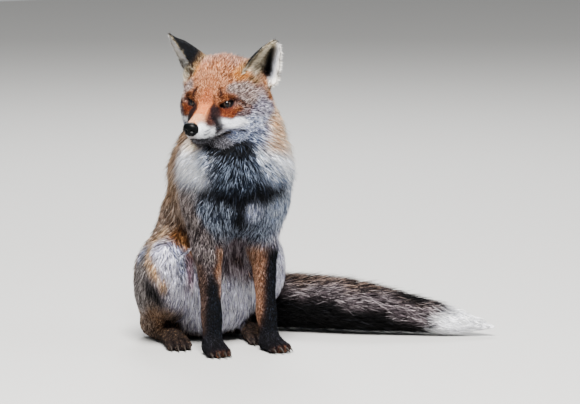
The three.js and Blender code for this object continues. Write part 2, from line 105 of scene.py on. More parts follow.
def measure(mesh):
    """The mesh's points in millimetres."""
    spots = np.zeros(len(mesh.vertices) * 3, np.float32)
    mesh.vertices.foreach_get("co", spots)
    return spots.reshape(-1, 3).astype(float) * 1000 - floor_spot


# The parts swell a little so that the cuts between them close, and then melt into one. All three
# measures are in metres.
part_swell, melt_grain, same_point = 0.0006, 0.0025, 2e-5
weld = bmesh.new()
part_faces, part_of_face, part_points = [], [], []
for number, node in enumerate(flesh):
    part = bmesh.new()
    part.from_mesh(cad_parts[node].data)
    bmesh.ops.remove_doubles(part, verts=part.verts, dist=same_point)
    bmesh.ops.recalc_face_normals(part, faces=part.faces)
    start = len(part_points)
    part_points += [v.co.copy() for v in part.verts]
    part.verts.index_update()
    for face in part.faces:
        part_faces.append([start + v.index for v in face.verts])
        part_of_face.append(number)
    part.normal_update()
    for v in part.verts:
        v.co += v.normal * part_swell
    swollen = bpy.data.meshes.new("swollen")
    part.to_mesh(swollen)
    weld.from_mesh(swollen)
    part.free()
    bpy.data.meshes.remove(swollen)
welded = bpy.data.meshes.new("welded")
weld.to_mesh(welded)
weld.free()
rough = add_object("rough", welded)
melt = rough.modifiers.new("melt", "REMESH")
melt.mode = "VOXEL"
melt.voxel_size = melt_grain
bpy.context.view_layer.update()
melted = rough.evaluated_get(bpy.context.evaluated_depsgraph_get())
hide_mesh = bpy.data.meshes.new_from_object(melted)
bpy.data.objects.remove(rough)

work = bmesh.new()
work.from_mesh(hide_mesh)
# Only the outer shell is kept, with none of the small bubbles that the cuts leave inside.
seen, shells = set(), []
for seed in work.verts:
    if seed in seen:
        continue
    seen.add(seed)
    shell, edge = [seed], [seed]
    while edge:
        v = edge.pop()
        for e in v.link_edges:
            o = e.other_vert(v)
            if o not in seen:
                seen.add(o)
                shell.append(o)
                edge.append(o)
    shells.append(shell)
shells.sort(key=len)
for shell in shells[:-1]:
    bmesh.ops.delete(work, geom=shell, context="VERTS")
work.verts.index_update()
# The face and the toes are cut finer than the body, for lips, lids, brows and toes.
feet = [((45, -8), 8), ((-52, -8), -4), ((52, 70), -4), ((-82, 74), -10)]


def in_foot(spots, foot):
    """Points measured from a foot's middle: across it, back along it and up."""
    (x, y), turned = foot
    c, s = math.cos(math.radians(turned)), math.sin(math.radians(turned))
    across, back = spots[:, 0] - x, spots[:, 1] - y
    return np.stack([c * across + s * back, c * back - s * across, spots[:, 2]], 1)


def within(spots, half, back, up):
    """Which points lie in a box, by its half-width and its ends along back and up."""
    sides, rows, heights = np.abs(spots[:, 0]), spots[:, 1], spots[:, 2]
    inside = (sides < half) & (rows > back[0]) & (rows < back[1])
    return inside & (heights > up[0]) & (heights < up[1])


spots = np.array([v.co for v in work.verts]) * 1000 - floor_spot
fine = np.zeros(len(spots), bool)
for foot in feet:
    local = in_foot(spots, foot)
    fine |= within(local, 26, (-48, -6), (-1e9, 26))
fine |= within(in_head(spots), 62, (-1e9, 8), (-62, 60))
edges = [e for e in work.edges if fine[e.verts[0].index] and fine[e.verts[1].index]]
bmesh.ops.subdivide_edges(work, edges=edges, cuts=1, use_grid_fill=True)
bmesh.ops.triangulate(work, faces=[f for f in work.faces if len(f.verts) > 4])
work.to_mesh(hide_mesh)
work.free()

points = measure(hide_mesh)
count = len(points)


def find_links(mesh):
    """Sets the arrays that say which points are neighbours and which three make a triangle."""
    global first, second, neighbours, triangles
    pairs = np.zeros(len(mesh.edges) * 2, np.int32)
    mesh.edges.foreach_get("vertices", pairs)
    first, second = pairs[0::2], pairs[1::2]
    ends = np.bincount(first, minlength=count) + np.bincount(second, minlength=count)
    neighbours = np.maximum(ends, 1)
    mesh.calc_loop_triangles()
    triangles = np.zeros(len(mesh.loop_triangles) * 3, np.int32)
    mesh.loop_triangles.foreach_get("vertices", triangles)
    triangles = triangles.reshape(-1, 3)


find_links(hide_mesh)


def neighbour_mean(values):
    """Each point's value taken as the mean of its neighbours'."""
    columns = values.reshape(count, -1)
    total = [
        np.bincount(first, c[second], count) + np.bincount(second, c[first], count)
        for c in columns.T
    ]
    return (np.stack(total, 1) / neighbours[:, None]).reshape(values.shape)


# How far each round of evening brings a value to its neighbours' mean.
blur_pull = 0.65


def blur(values, rounds):
    """Values evened out over the hide, round by round."""
    for _ in range(rounds):
        values = 0.35 * values + blur_pull * neighbour_mean(values)
    return values


def unit(vectors):
    """Vectors brought to a length of one."""
    return vectors / np.maximum(np.linalg.norm(vectors, axis=-1, keepdims=True), 1e-9)


def outward(spots):
    """Unit normals of the hide's points."""
    a, b, c = (spots[triangles[:, k]] for k in range(3))
    face = np.cross(b - a, c - a)
    total = [sum(np.bincount(corner, along, count) for corner in triangles.T) for along in face.T]
    return unit(np.stack(total, 1))


def ramp(value, low, high):
    """A smooth step from 0 at low to 1 at high."""
    share = np.clip((value - low) / (high - low), 0, 1)
    return share * share * (3 - 2 * share)


nearest_part = BVHTree.FromPolygons(part_points, part_faces)
in_frame = ((points + floor_spot) / 1000).tolist()
part = np.array([part_of_face[nearest_part.find_nearest(p)[2]] for p in in_frame])


def is_part(*names):
    """Which points lie on any of these parts."""
    return np.isin(part, [flesh.index(n) for n in names])


def find_zones():
    """Sets the arrays that say which points lie on which parts of the fox."""
    global on_head, on_ears, on_body, on_tail
    global on_forelegs, on_hindlegs, on_forepaws, on_hindpaws, on_paws
    on_head, on_ears = is_part("head", "muzzle"), is_part("ear_left", "ear_right")
    on_body, on_tail = is_part("neck", "trunk"), is_part("tail_base", "tail_middle", "tail_tip")
    on_forelegs = is_part("foreleg_left", "foreleg_right")
    on_hindlegs = is_part("hindleg_left", "hindleg_right")
    on_forepaws = is_part("forepaw_left", "forepaw_right")
    on_hindpaws = is_part("hindpaw_left", "hindpaw_right")
    on_paws = on_forepaws | on_hindpaws


find_zones()

# The brush follows the tail's bone, from the rump round to its tip.
tail_bone = np.array([
    [-4, 196, 50], [36, 208, 46], [92, 194, 46], [150, 152, 46], [215, 98, 44.5],
    [280, 52, 37], [333, 18, 29], [380, -12, 21], [423, -40, 15],
])  # fmt: skip
tail_reach = np.concatenate([[0], np.cumsum(np.linalg.norm(np.diff(tail_bone, axis=0), axis=1))])
tail_reach /= tail_reach[-1]


def along_tail(spots):
    """Share of the way from rump to tip, the bone's point there and its direction."""
    best, share = np.full(len(spots), 1e9), np.zeros(len(spots))
    foot, way = np.zeros_like(spots), np.zeros_like(spots)
    for k in range(len(tail_bone) - 1):
        a, b = tail_bone[k], tail_bone[k + 1]
        t = np.clip((spots - a) @ (b - a) / ((b - a) @ (b - a)), 0, 1)
        p = a + t[:, None] * (b - a)
        far = np.linalg.norm(spots - p, axis=1)
        near = far < best
        best = np.where(near, far, best)
        share = np.where(near, tail_reach[k] + t * (tail_reach[k + 1] - tail_reach[k]), share)
        foot = np.where(near[:, None], p, foot)
        way = np.where(near[:, None], unit(b - a), way)
    return share, foot, way


# How far the coat stands off the hide: hardly at all on muzzle, ears and paws.
face = in_head(points)
ruff = 4.5 * ramp(face[:, 1], -5, 35) * ramp(-face[:, 2], -5, 25)
depth = np.full(count, 8.5)
depth[on_ears] = 0.6
depth[on_tail] = (13 - 9 * ramp(along_tail(points)[0], 0.72, 1.0))[on_tail]
depth[on_forelegs] = (1.5 + 5.5 * ramp(points[:, 2], 110, 200))[on_forelegs]
depth[on_paws] = 1.2
depth[on_hindlegs] = (1.5 + 5.5 * ramp(points[:, 2], 40, 100))[on_hindlegs]
depth[on_head] = (1.2 + 5 * ramp(face[:, 1], -50, 6) + ruff)[on_head]
depth = blur(depth, 26)
# How freely each point may move as the facets are evened out, so that fine forms keep their shape.
softness = np.where(on_forelegs | on_hindlegs, 0.6, 1.0)
softness[on_paws], softness[on_ears] = 0.06, 0.08
softness[on_head] = (0.16 + 0.3 * ramp(face[:, 1], -50, 0))[on_head]
softness = blur(softness, 6)[:, None]


# The facets are evened out, the hide sinks by the depth of the coat, and is evened again.
def evened(spots, rounds):
    """Points drawn towards their neighbours' mean, as freely as each may move."""
    for _ in range(rounds):
        spots = spots + blur_pull * softness * (neighbour_mean(spots) - spots)
    return spots


points = evened(points, 34)
sink = blur(outward(points), 15)
sink = unit(sink) * np.minimum(1, np.linalg.norm(sink, axis=1, keepdims=True) * 1.15)
points = points - depth[:, None] * np.where((on_ears | on_head)[:, None], outward(points), sink)
points = evened(points, 13)

# The mouth is a closed line from under the nose to the corner below the eye.
mouth_line = np.array([
    [0, -107, -36], [7, -96, -40], [12, -80, -44], [16, -69, -45.5],
    [22, -61, -42.5], [29, -56, -39.5], [36, -50, -38.5],
])  # fmt: skip


def off_line(spots, line):
    """Distance from a line of points, and the share of the way along it."""
    best, share = np.full(len(spots), 1e9), np.zeros(len(spots))
    for k in range(len(line) - 1):
        a, b = line[k], line[k + 1]
        t = np.clip((spots - a) @ (b - a) / ((b - a) @ (b - a)), 0, 1)
        far = np.linalg.norm(spots - a - t[:, None] * (b - a), axis=1)
        near = far < best
        best, share = np.where(near, far, best), np.where(near, (k + t) / (len(line) - 1), share)
    return best, share


normals = outward(points)
face = in_head(points)
one_side = np.column_stack([np.abs(face[:, 0]), face[:, 1:]])
from_mouth, along_mouth = off_line(one_side, mouth_line)
groove_half, groove_deep, lip_from_groove, lip_half, lip_proud = 1.7, 2.0, 3.6, 1.8, 0.9
groove = np.exp(-((from_mouth / groove_half) ** 2)) * (1 - 0.6 * along_mouth)
lip_roll = np.exp(-(((from_mouth - lip_from_groove) / lip_half) ** 2))
lip_roll *= ramp(one_side[:, 2] + 40 + 6 * along_mouth, -3, 3)
rolled = lip_proud * lip_roll - groove_deep * groove
points = points + normals * np.where(on_head, rolled, 0)[:, None]

# Three clefts part each foot's four toes.
cleft_half, cleft_deep = 1.9, 3.4
between_toes = np.zeros(count)
for foot in feet:
    local = in_foot(points, foot)
    inside = on_paws & within(local, 24, (-48, -8), (-1e9, 1e9))
    for middle in (-10, 0, 10):
        cleft = np.exp(-(((local[:, 0] - middle) / cleft_half) ** 2))
        cleft = cleft * ramp(-local[:, 1], 10, 20) * ramp(local[:, 2], -1, 3)
        between_toes = np.maximum(between_toes, cleft * inside)
points = points - normals * (cleft_deep * between_toes)[:, None]


def ring_pairs(rings, around, base=0):
    """Each point's number with the next one's round its ring. `around` more is the ring beyond."""
    for r in range(rings):
        for k in range(around):
            yield base + r * around + k, base + r * around + (k + 1) % around


# Lids: a round of skin about each eye, from the rim against the ball out to under the hide.
eye_radius, lid_reach, lid_rings, lid_spokes = 9.8, 17.0, 9, 56
lid_slant = math.radians(13)
eye_frames = {}
under_hide = BVHTree.FromPolygons(points.tolist(), triangles.tolist())
lid_points, lid_triangles, buried = [], [], np.zeros(count, bool)
for side in (1, -1):
    out = unit(np.array([0.46 * side, -0.87, 0.10]))
    rise = unit(np.array([0, 0, 1.0]) - out[2] * out)
    along = np.cross(out, rise) * side
    along = along * (1 if along[0] * side > 0 else -1)
    c, s = math.cos(lid_slant), math.sin(lid_slant)
    along, rise = along * c + rise * s, rise * c - along * s
    axes = head_axes @ np.stack([along, rise, out], 1)
    spot = eye_spots[side]
    eye_frames[side] = (spot, axes)
    local = (points - spot) @ axes
    wide = np.hypot(local[:, 0], local[:, 1])
    near = (wide < 16) & (local[:, 2] > -6) & on_head
    local[near, 2] -= 13 * (1 - ramp(wide[near], 11, 15.5))
    points[near] = spot + local[near] @ axes.T
    buried |= near & (wide < 14)
    angle = np.linspace(0, 2 * math.pi, lid_spokes, endpoint=False)
    c, s = np.cos(angle), np.sin(angle)
    rim_wide, rim_tall = np.where(c > 0, 9.3, 10.2), np.where(s > 0, 4.5, 4.3)
    rim = np.stack([rim_wide * c, rim_tall * np.abs(s) ** 1.25 * np.sign(s) + 0.5 * c], 1)
    rim_high = np.sqrt(np.maximum((eye_radius + 0.5) ** 2 - (rim**2).sum(1), 6))
    outer = np.stack([c, s], 1) * lid_reach
    outer_high = []
    for p in outer:
        start = spot + axes @ np.array([p[0], p[1], 35.0])
        hit = under_hide.ray_cast(start.tolist(), (-axes[:, 2]).tolist())
        outer_high.append((np.array(hit[0]) - spot) @ axes[:, 2] if hit[0] is not None else 6.0)
    outer_high = np.array(outer_high) - 0.5
    rows = [np.column_stack([rim * k, rim_high - low]) for k, low in ((0.93, 3.5), (0.97, 0.9))]
    for k in range(lid_rings):
        t = k / (lid_rings - 1)
        flat = rim * (1 - t) + outer * t
        swell = np.where(s > 0, 1.7, 1.1) * np.abs(s) * math.sin(math.pi * t**0.6) * (1 - t)
        crease = 1.1 * np.exp(-(((t - 0.42) / 0.09) ** 2)) * ramp(s, 0.1, 0.7)
        ease = t * t * (3 - 2 * t)
        high = rim_high + 0.5 * min(1, 4 * t) + (outer_high - rim_high) * ease + swell - crease
        rows.append(np.column_stack([flat, high]))
    base = count + sum(len(p) for p in lid_points)
    lid_points.append(np.concatenate(rows) @ axes.T + spot)
    for a, b in ring_pairs(len(rows) - 1, lid_spokes, base):
        quad = [a, b, b + lid_spokes, a + lid_spokes]
        if np.linalg.det(axes) > 0:
            quad = quad[::-1]
        lid_triangles += [[quad[0], quad[1], quad[2]], [quad[0], quad[2], quad[3]]]
lids = np.concatenate(lid_points)
points = np.concatenate([points, lids])
triangles = np.concatenate([triangles, np.array(lid_triangles)])
extra = len(lids)
count = len(points)
part = np.concatenate([part, np.full(extra, flesh.index("head"))])
depth = np.concatenate([depth, np.full(extra, 1.2)])
buried = np.concatenate([buried, np.zeros(extra, bool)])
between_toes = np.concatenate([between_toes, np.zeros(extra)])
find_zones()
lowest_hide = 0.3
points[:, 2] = np.maximum(points[:, 2], lowest_hide)
bpy.data.meshes.remove(hide_mesh)
hide = cast("hide", points, triangles.ravel(), 3)
find_links(hide.data)
normals = outward(points)
face = in_head(points)


# ---- The lie of the hair -----------------------------------------------------------------------
# Hair grows from the nose back over the head, down neck, body and legs, and out along the brush.
# Its lie is set part by part on the points of the hide and then blended, as a coat is brushed out.

# An ear is an arc about its own axis: share runs from root to tip, round from the inner rim (-1) to
# the outer (1).
ear_roots = {1: np.array([47.6, 33.7, 32.8]), -1: np.array([-50.6, 41.5, 36.2])}
ear_tips = {1: np.array([91.5, 15.7, 94.3]), -1: np.array([-89.1, 13.5, 97.9])}
ear_openings = {1: 34, -1: 46}
ear_sizes = [
    [23, 29, 26.3, 22.9, 19, 13.8, 5.7],  # half-width, from root to tip
    [37, 36, 32, 27, 20.9, 11.1, 3.5],  # depth of the arc
    [14.7, 15.4, 13.9, 11.7, 9.4, 6.3, 2.3],  # how far the arc's middle lies before the axis
    [107, 98, 88, 88, 88, 86, 72],  # degrees that the arc reaches round each way
]
ear_share, ear_round, ear_inside = np.zeros(count), np.zeros(count), np.zeros(count)
ear_way, ear_across = np.zeros((count, 3)), np.zeros((count, 3))
for side in (1, -1):
    mine = on_ears & (face[:, 0] * side > 0)
    axis = ear_tips[side] - ear_roots[side]
    turned = math.radians(ear_openings[side])
    opening = np.array([math.sin(turned) * side, -math.cos(turned), 0])
    opening = unit(opening - axis * (opening @ axis) / (axis @ axis))
    across = unit(np.cross(axis, opening))
    across *= np.sign(across[0]) * side
    share = np.clip((face - ear_roots[side]) @ axis / (axis @ axis), 0, 1)
    rows = np.linspace(0, 1, 7)
    half, deep, forward, curl = (np.interp(share, rows, v) for v in ear_sizes)
    spoke = face - ear_roots[side] - share[:, None] * axis - forward[:, None] * opening
    angle = np.degrees(np.arctan2(spoke @ across / half, -(spoke @ opening) / deep))
    inner = ((normals @ head_axes) * unit(spoke)).sum(1) < np.where(angle > 0, 0.25, -0.15)
    ear_share[mine], ear_round[mine] = share[mine], (angle / curl)[mine]
    ear_inside[mine], ear_across[mine] = inner[mine], across
    at_rim = ramp(np.abs(angle / curl), 0.5, 1.0)[:, None]
    ragged = unit(axis) + 0.35 * across * np.sign(angle)[:, None] * at_rim
    ear_way[mine] = ragged[mine]

from_nose = unit(face - [0, -113, -17])
cheek_fall = 0.55 * ramp(np.abs(face[:, 0]), 18, 48) * ramp(-face[:, 2], -14, 26)
from_nose[:, 2] -= cheek_fall * ramp(face[:, 1], -60, 10)
comb = np.zeros((count, 3))
comb[on_head] = (unit(from_nose) @ head_axes.T)[on_head]
comb[on_ears] = (ear_way @ head_axes.T)[on_ears]
behind = ramp(normals[:, 1], -0.2, 0.7)
parted = np.clip((points[:, 0] + 16) / 58, -1, 1) * ramp(points[:, 2], 205, 300) * (1 - behind)
back_lie = 0.1 + 0.45 * behind + 0.25 * np.abs(parted)
comb[on_body] = unit(np.stack([0.9 * parted, back_lie, -np.ones(count)], 1))[on_body]
comb[on_forelegs] = [0, 0.06, -1]
thigh_lie = np.stack([np.zeros(count), 0.25 + 0.3 * behind, -np.ones(count)], 1)
comb[on_hindlegs] = unit(thigh_lie)[on_hindlegs]
comb[on_paws] = [0, -0.9, -0.3]
tail_share, tail_foot, tail_way = along_tail(points)
comb[on_tail] = (tail_way + 0.18 * unit(points - tail_foot))[on_tail]
comb = blur(comb, 14)
comb = unit(comb - (comb * normals).sum(1)[:, None] * normals)


# ---- Markings ----------------------------------------------------------------------------------
# The winter coat of a red fox: white lips and bib, smudged muzzle, black backs to the ears, black
# forelegs, grizzled flanks and a white tip to the brush. Hide and hair take the same colours.

# Each kind of hair: its middle colour, pale tip and dark tip, and how much of it is tipped pale and
# how much dark.
# Some kinds are painted shade, not the hair's own colour: the near-black under the jaw, the dark at
# the cheek's lower back edge (which also draws dark lines on the lip), the dark and dark orange of
# the folds by the legs, the dark at the forelegs' tops and low between them, and the dark in the
# ears' hollows. The smudge also paints the shade between the toes, and the bridge's pale front is
# partly a painted highlight.
fur = """
bridge_pale e2a67c f2ceb0 a06c4a 0.3 0.08
bridge d5834e efb082 8a4a28 0.3 0.1
bridge_top 96593a cc9068 4a2718 0.3 0.25
muzzle_side 50322b 8a5c4c 1a0f0d 0.26 0.42
rust 642e18 a35f38 33150b 0.22 0.3
rust_light 7e4224 b8794c 421c0e 0.25 0.28
brow_rust 6a3a1e b0764a 2c160d 0.3 0.38
brow_dark 3a1f16 8a5a40 140b08 0.2 0.5
forehead 93603f d2a180 382014 0.36 0.38
crown 835a44 cfa48f 34211a 0.36 0.38
gold 925f30 cf9c64 452b17 0.3 0.3
lilac 72635f cdbcb6 2c2322 0.36 0.42
cheek_warm 6a5758 c4b0b0 2a1f21 0.36 0.4
cheek 77717f dedce8 2b2733 0.42 0.4
cheek_low 8d93a8 e8ecf8 363c50 0.48 0.3
cheek_edge 2f2c34 7d7a88 0d0c10 0.25 0.5
whisker_line 4c5262 8c92a2 20222c 0.25 0.45
white f4f5fa ffffff 8a8c9c 0.5 0.2
smudge 191218 3c303a 070608 0.1 0.5
chin 504f55 a4a3ab 17171a 0.34 0.36
jaw 566078 c3cce0 1a1f2a 0.45 0.38
neck_tan d2aa84 fbe6d0 6a4c38 0.5 0.18
neck_cream eedac4 fffaf0 8a6c54 0.5 0.12
nape 7c5a42 c4a486 33241b 0.34 0.38
throat 0f1218 3c4452 050608 0.14 0.5
bib_white eaeef9 ffffff 828ba6 0.6 0.13
bib_blue 8e9bb4 eef4ff 262c3a 0.55 0.34
bib_grey 2a3341 9eacc3 0c1018 0.3 0.48
band_black 090b11 2c3444 030406 0.1 0.5
chest_brown 5a504e b5aaa8 1f1b1c 0.4 0.42
chest_grey 444c5c b4c0d4 151922 0.42 0.42
chest_light 8c92a8 d6dbea 3a4052 0.44 0.3
chest_blue 7c879e dce6f6 2c3342 0.48 0.3
chest_dark 24262d 666d7c 0a0b0f 0.25 0.5
dark_brown 2e1c14 5e4032 100906 0.2 0.5
back_brown 8d735c d8bca2 2a1d15 0.38 0.38
back_red 7a5238 bd9270 2b1a12 0.34 0.4
flank_grizzle 7c695c c4b2a4 342a25 0.4 0.36
fold_dark 38281f 75543e 140d09 0.22 0.48
fold_orange 74502f ae8154 2e1a0e 0.28 0.36
belly_white b4b3c6 f6f6ff 5a586a 0.52 0.2
belly_blue 8488a0 dfe2f0 2c3042 0.45 0.34
belly_pink 8a6e7c d0bac6 432f3b 0.38 0.3
belly_grey 65595f b3a8ae 2b2428 0.35 0.35
thigh_light 9498ac e0e3f0 42465a 0.45 0.28
thigh_grizzle 66605f c0b8b6 252123 0.4 0.42
thigh_black 1c191b 5a5458 080708 0.2 0.5
ridge_tan b0906e e2ccb0 6a5038 0.42 0.15
ridge_brown 6e5440 b0937a 2a1f18 0.35 0.33
leg_grizzle 50474a aca19f 1a1616 0.36 0.44
leg_black 0d0f15 303848 040508 0.14 0.45
leg_tan 7e5c48 c4a08a 38251b 0.35 0.3
leg_pale a08478 d8c2b8 54403a 0.4 0.15
leg_brown 4a3a34 8a7268 171110 0.33 0.42
paw_dark 15151a 40404a 070709 0.18 0.42
toe_brown 4a3026 926a52 1d120d 0.3 0.36
hind_brown 302622 64513f 120e0b 0.22 0.45
ear_black 07090f 222a3a 030406 0.12 0.5
ear_base 6b5138 b59a72 231912 0.3 0.42
ear_cream d3c6ac fff6e4 5c5040 0.45 0.28
ear_white dddfe8 ffffff 6a7080 0.5 0.2
ear_rim f4efe6 ffffff a8a094 0.5 0.15
ear_cavity 07090e 2c3444 030406 0.12 0.5
tail_light 60575b aca2a4 1e1a1c 0.26 0.3
tail_brown 342a29 8f7a6e 100c0b 0.26 0.5
tail_black 08080a 26262b 020203 0.08 0.5
tail_white f6f6fb ffffff b8b6c4 0.5 0.05
"""
# A marking is a capsule: a kind of hair, the spots that it reaches from and to, and its half-width.
# Every point of the hide takes the colours of the nearest ones. The head's are measured from the
# head's own middle, and mirrored. Of the head's marks, the near-black under the jaw and the dark at
# the cheek's lower back edge are painted shadow, the dark spot at the ear's root is painted shade
# in its hollow, and the pale front of the bridge is partly a painted highlight.
head_marks = """
bridge_pale 0 -104 -11 0 -86 -7 10
bridge 0 -78 -2 0 -64 4 11
bridge_top 0 -55 10 0 -46 22 9
muzzle_side 17 -80 -16 14 -63 -2 6.8
rust 24 -52 -5 41 -42 -9 6.5
rust_light 29 -57 -13 40 -45 -15 5.0
brow_rust 42 -42 -5 48 -36 -3 4.5
rust 22 -60 -16 25 -57 -20 4
brow_rust 25 -46 15 37 -38 13 5
brow_dark 19 -44 28 22 -48 18 4
forehead 0 -38 34 0 -12 52 24
forehead 20 -38 32 26 -30 34 9
crown 0 14 62 0 34 58 32
gold 33 -6 42 38 8 44 10
ear_cream 42 20 47 47 38 53 5.5
ear_cream 46 26 42 49 38 44 5
ear_cavity 55 42 35 57 43 27 3.5
ear_base 46 8 34 51 16 26 4.5
gold 64 34 2 62 38 12 9
lilac 34 -31 26 50 -10 20 10
lilac 52 -26 6 56 -6 4 9
cheek_warm 48 -36 -12 56 -24 -8 7
cheek 60 -8 -12 62 22 -16 15
cheek_low 56 -18 -30 66 6 -34 13
cheek_edge 66 36 -26 68 26 -40 5
white 13 -104 -22 16 -92 -34 9
white 18 -90 -30 21 -74 -36 7.5
white 29 -61 -20 37 -49 -22 5
white 37 -49 -22 49 -35 -24 4.6
white 49 -35 -24 56 -25 -27 3.4
ear_cream 72 46 18 77 46 26 5
chin 0 -94 -47 0 -62 -54 11
jaw 36 -44 -42 48 -26 -45 9
chin 24 -60 -50 34 -44 -56 8
jaw 40 -20 -56 50 0 -56 10
neck_tan 66 52 -20 60 58 -10 10
nape 0 54 22 0 60 0 36
throat 0 -20 -62 0 16 -70 18
"""
# Of the body's marks, the near-black under the jaw is painted shadow, and the dark and dark orange
# of the folds between flank and legs and the dark low between the forelegs are painted shade.
body_marks = """
throat -54 -8 319 -12 -28 317 13
throat -38 -26 312 -20 -32 306 14
throat -30 -20 332 -20 -14 340 14
bib_grey -46 -30 288 -4 -38 288 13
bib_grey -46 -28 270 6 -42 268 12
bib_blue -66 -2 302 -62 -4 296 10
bib_white -77 24 300 -76 14 284 19
neck_cream -72 34 318 -68 20 322 10
bib_white 46 -28 296 68 -2 284 20
bib_blue 12 -40 300 34 -38 282 12
bib_blue 42 -34 272 64 -14 268 9
neck_tan 46 -4 334 64 26 352 11
neck_tan 34 -22 319 58 4 324 9
neck_tan 46 -24 307 58 -8 312 6
neck_cream 66 26 340 74 44 350 12
neck_tan 60 66 384 72 74 352 13
neck_cream 60 0 314 78 30 312 15
neck_cream 70 36 362 66 42 376 9
jaw 24 -22 326 10 -20 334 11
cheek_low 36 -16 338 32 -10 342 9
band_black -79 10 257 -67 -9 252 4.5
band_black -67 -9 251 -46 -24 247 7.5
band_black -46 -24 246 -20 -37 243 10
band_black -20 -37 243 0 -42 248 10
band_black 0 -42 248 16 -41 256 10.5
band_black 16 -41 256 38 -34 255 10
band_black 38 -34 254 56 -17 246 5.5
chest_brown -82 24 248 -76 16 206 14
chest_grey -60 0 226 -48 -8 204 15
chest_grey -34 -20 222 -26 -14 200 12
chest_light -6 -33 228 6 -31 220 6
band_black -21 -28 220 -17 -14 202 7.5
chest_grey 20 -8 206 26 6 184 10
chest_blue 46 -18 228 62 -6 212 15
chest_blue 70 6 262 72 8 226 12
chest_grey -6 16 190 -6 24 180 13
belly_grey -6 34 172 -4 46 156 14
dark_brown 5 54 137 17 54 134 6
leg_grizzle -60 12 190 -56 14 178 11
back_brown -66 100 330 -76 112 244 34
back_brown 72 74 320 84 112 240 34
back_red 0 120 350 0 190 210 40
back_brown 0 200 200 0 226 90 40
flank_grizzle -74 96 214 -82 130 196 24
flank_grizzle 80 96 214 86 130 190 24
fold_dark -72 76 190 -64 56 181 6.5
fold_orange -70 64 168 -64 60 150 8
fold_orange -80 78 176 -76 66 162 7
fold_orange -60 63 143 -57 63 127 5.5
fold_orange 84 70 180 66 50 150 10
ridge_tan -86 108 176 -98 116 164 7
belly_blue -92 58 148 -84 56 126 11
belly_pink -70 62 140 -64 62 100 7
belly_white -58 60 124 -48 64 80 15
belly_grey -20 56 120 30 58 112 13
belly_white -30 60 80 40 62 76 22
belly_white -30 60 40 40 62 40 22
flank_grizzle -94 170 120 -84 190 60 30
flank_grizzle 88 160 110 74 190 60 30
belly_white 64 40 160 72 56 140 14
"""
# The dark at the top of each foreleg's inner side is painted shade, where the leg meets the chest.
foreleg_marks = """
leg_black -51 -8 134 -48 -10 30 9
leg_tan -38 8 172 -38 4 128 6.5
leg_pale -36 6 124 -36 8 96 3.6
leg_grizzle -60 8 200 -57 6 148 14
leg_brown -69 12 136 -67 12 40 7.5
leg_tan -52 44 60 -50 56 160 10
chest_dark -36 12 200 -34 10 186 8
leg_tan 30 16 174 24 10 58 10
leg_grizzle 36 8 196 34 6 164 8
dark_brown 24 22 190 22 24 174 6
leg_black 54 -2 150 45 -7 34 10.5
leg_brown 53 0 186 52 -2 166 9
leg_black 62 12 190 60 12 40 9
leg_tan 44 44 60 44 56 160 9
chest_blue 56 0 214 60 6 200 14
paw_dark -52 -14 22 -52 -26 16 15
toe_brown -54 -46 8 -50 -46 8 9
paw_dark 45 -14 22 47 -26 16 15
toe_brown 48 -46 8 52 -46 8 9
"""
# The dark orange at the top of the thigh's front is painted shade, in the fold against the flank.
hindleg_marks = """
ridge_tan -100 118 162 -117 88 144 5.5
ridge_tan -117 88 144 -116 60 122 6
ridge_tan -116 60 122 -107 53 98 6
ridge_brown -107 53 96 -98 54 66 7
thigh_light -108 140 166 -118 130 140 12
thigh_grizzle -126 112 116 -120 130 80 24
flank_grizzle -112 176 130 -100 190 60 28
thigh_black -120 78 96 -113 68 68 9
ridge_brown -112 84 44 -104 120 36 15
belly_white -104 52 152 -100 48 128 14
belly_white -92 50 120 -86 44 66 16
fold_orange -86 62 166 -80 60 158 6
belly_pink -68 42 128 -64 40 84 7.5
hind_brown -82 62 14 -80 110 12 18
thigh_grizzle 118 106 130 110 136 80 28
flank_grizzle 104 172 130 90 190 60 28
belly_white 92 66 140 94 64 60 17
belly_white 60 44 150 56 44 60 20
thigh_black 98 120 36 90 150 30 18
hind_brown 52 60 14 54 110 12 18
"""
# Fine lines over the head's: a kind of hair, the line's half-width and strength, and its spots.
head_lines = """
smudge 5.6 0.85 16 -57 4 17 -66 -6 20 -71 -15 23 -70 -24 24 -67 -33
smudge 4.2 0.9 20 -70 -14 24 -69 -24 24 -67 -32
smudge 4.6 0.85 20 -56 -1 23 -63 -11 27 -65 -21 28 -63 -30
brow_dark 2.6 0.75 12 -51 16 15 -55 8 17 -57 3
brow_dark 3.2 0.5 20 -44 24 24 -47 15
brow_dark 2.4 0.5 27 -42 17 33 -40 14
brow_dark 3.4 1.0 34 -38 9 42 -35 8 52 -28 2
brow_dark 3.4 0.75 52 -28 2 58 -16 -6
cheek_edge 2.4 0.95 25 -66 -31 33 -58 -31 42 -44 -33 52 -32 -38
whisker_line 1.5 0.75 27 -63 -25 35 -54 -26 46 -40 -29
cheek_edge 1.3 0.55 30 -58 -35 42 -45 -38 50 -36 -42
whisker_line 1.5 0.8 25 -68 -26 19 -84 -26 14 -96 -27
whisker_line 1.5 0.8 25 -68 -30.5 18 -86 -31.5 14 -95 -32
whisker_line 1.4 0.7 25 -67 -35 17 -86 -37
chin 3.4 0.75 30 -60 -42 44 -46 -44
chin 3.6 0.8 13 -66 -48 27 -60 -45
"""


def linear(code):
    """A screen colour's hex code as light."""
    c = np.array([int(code[k : k + 2], 16) / 255 for k in (0, 2, 4)])
    return np.where(c <= 0.04045, c / 12.92, ((c + 0.055) / 1.055) ** 2.4)


def rows_of(table):
    """A table's rows: the name that each begins with, and the rest of its words."""
    return [(row.split()[0], row.split()[1:]) for row in table.strip().splitlines()]


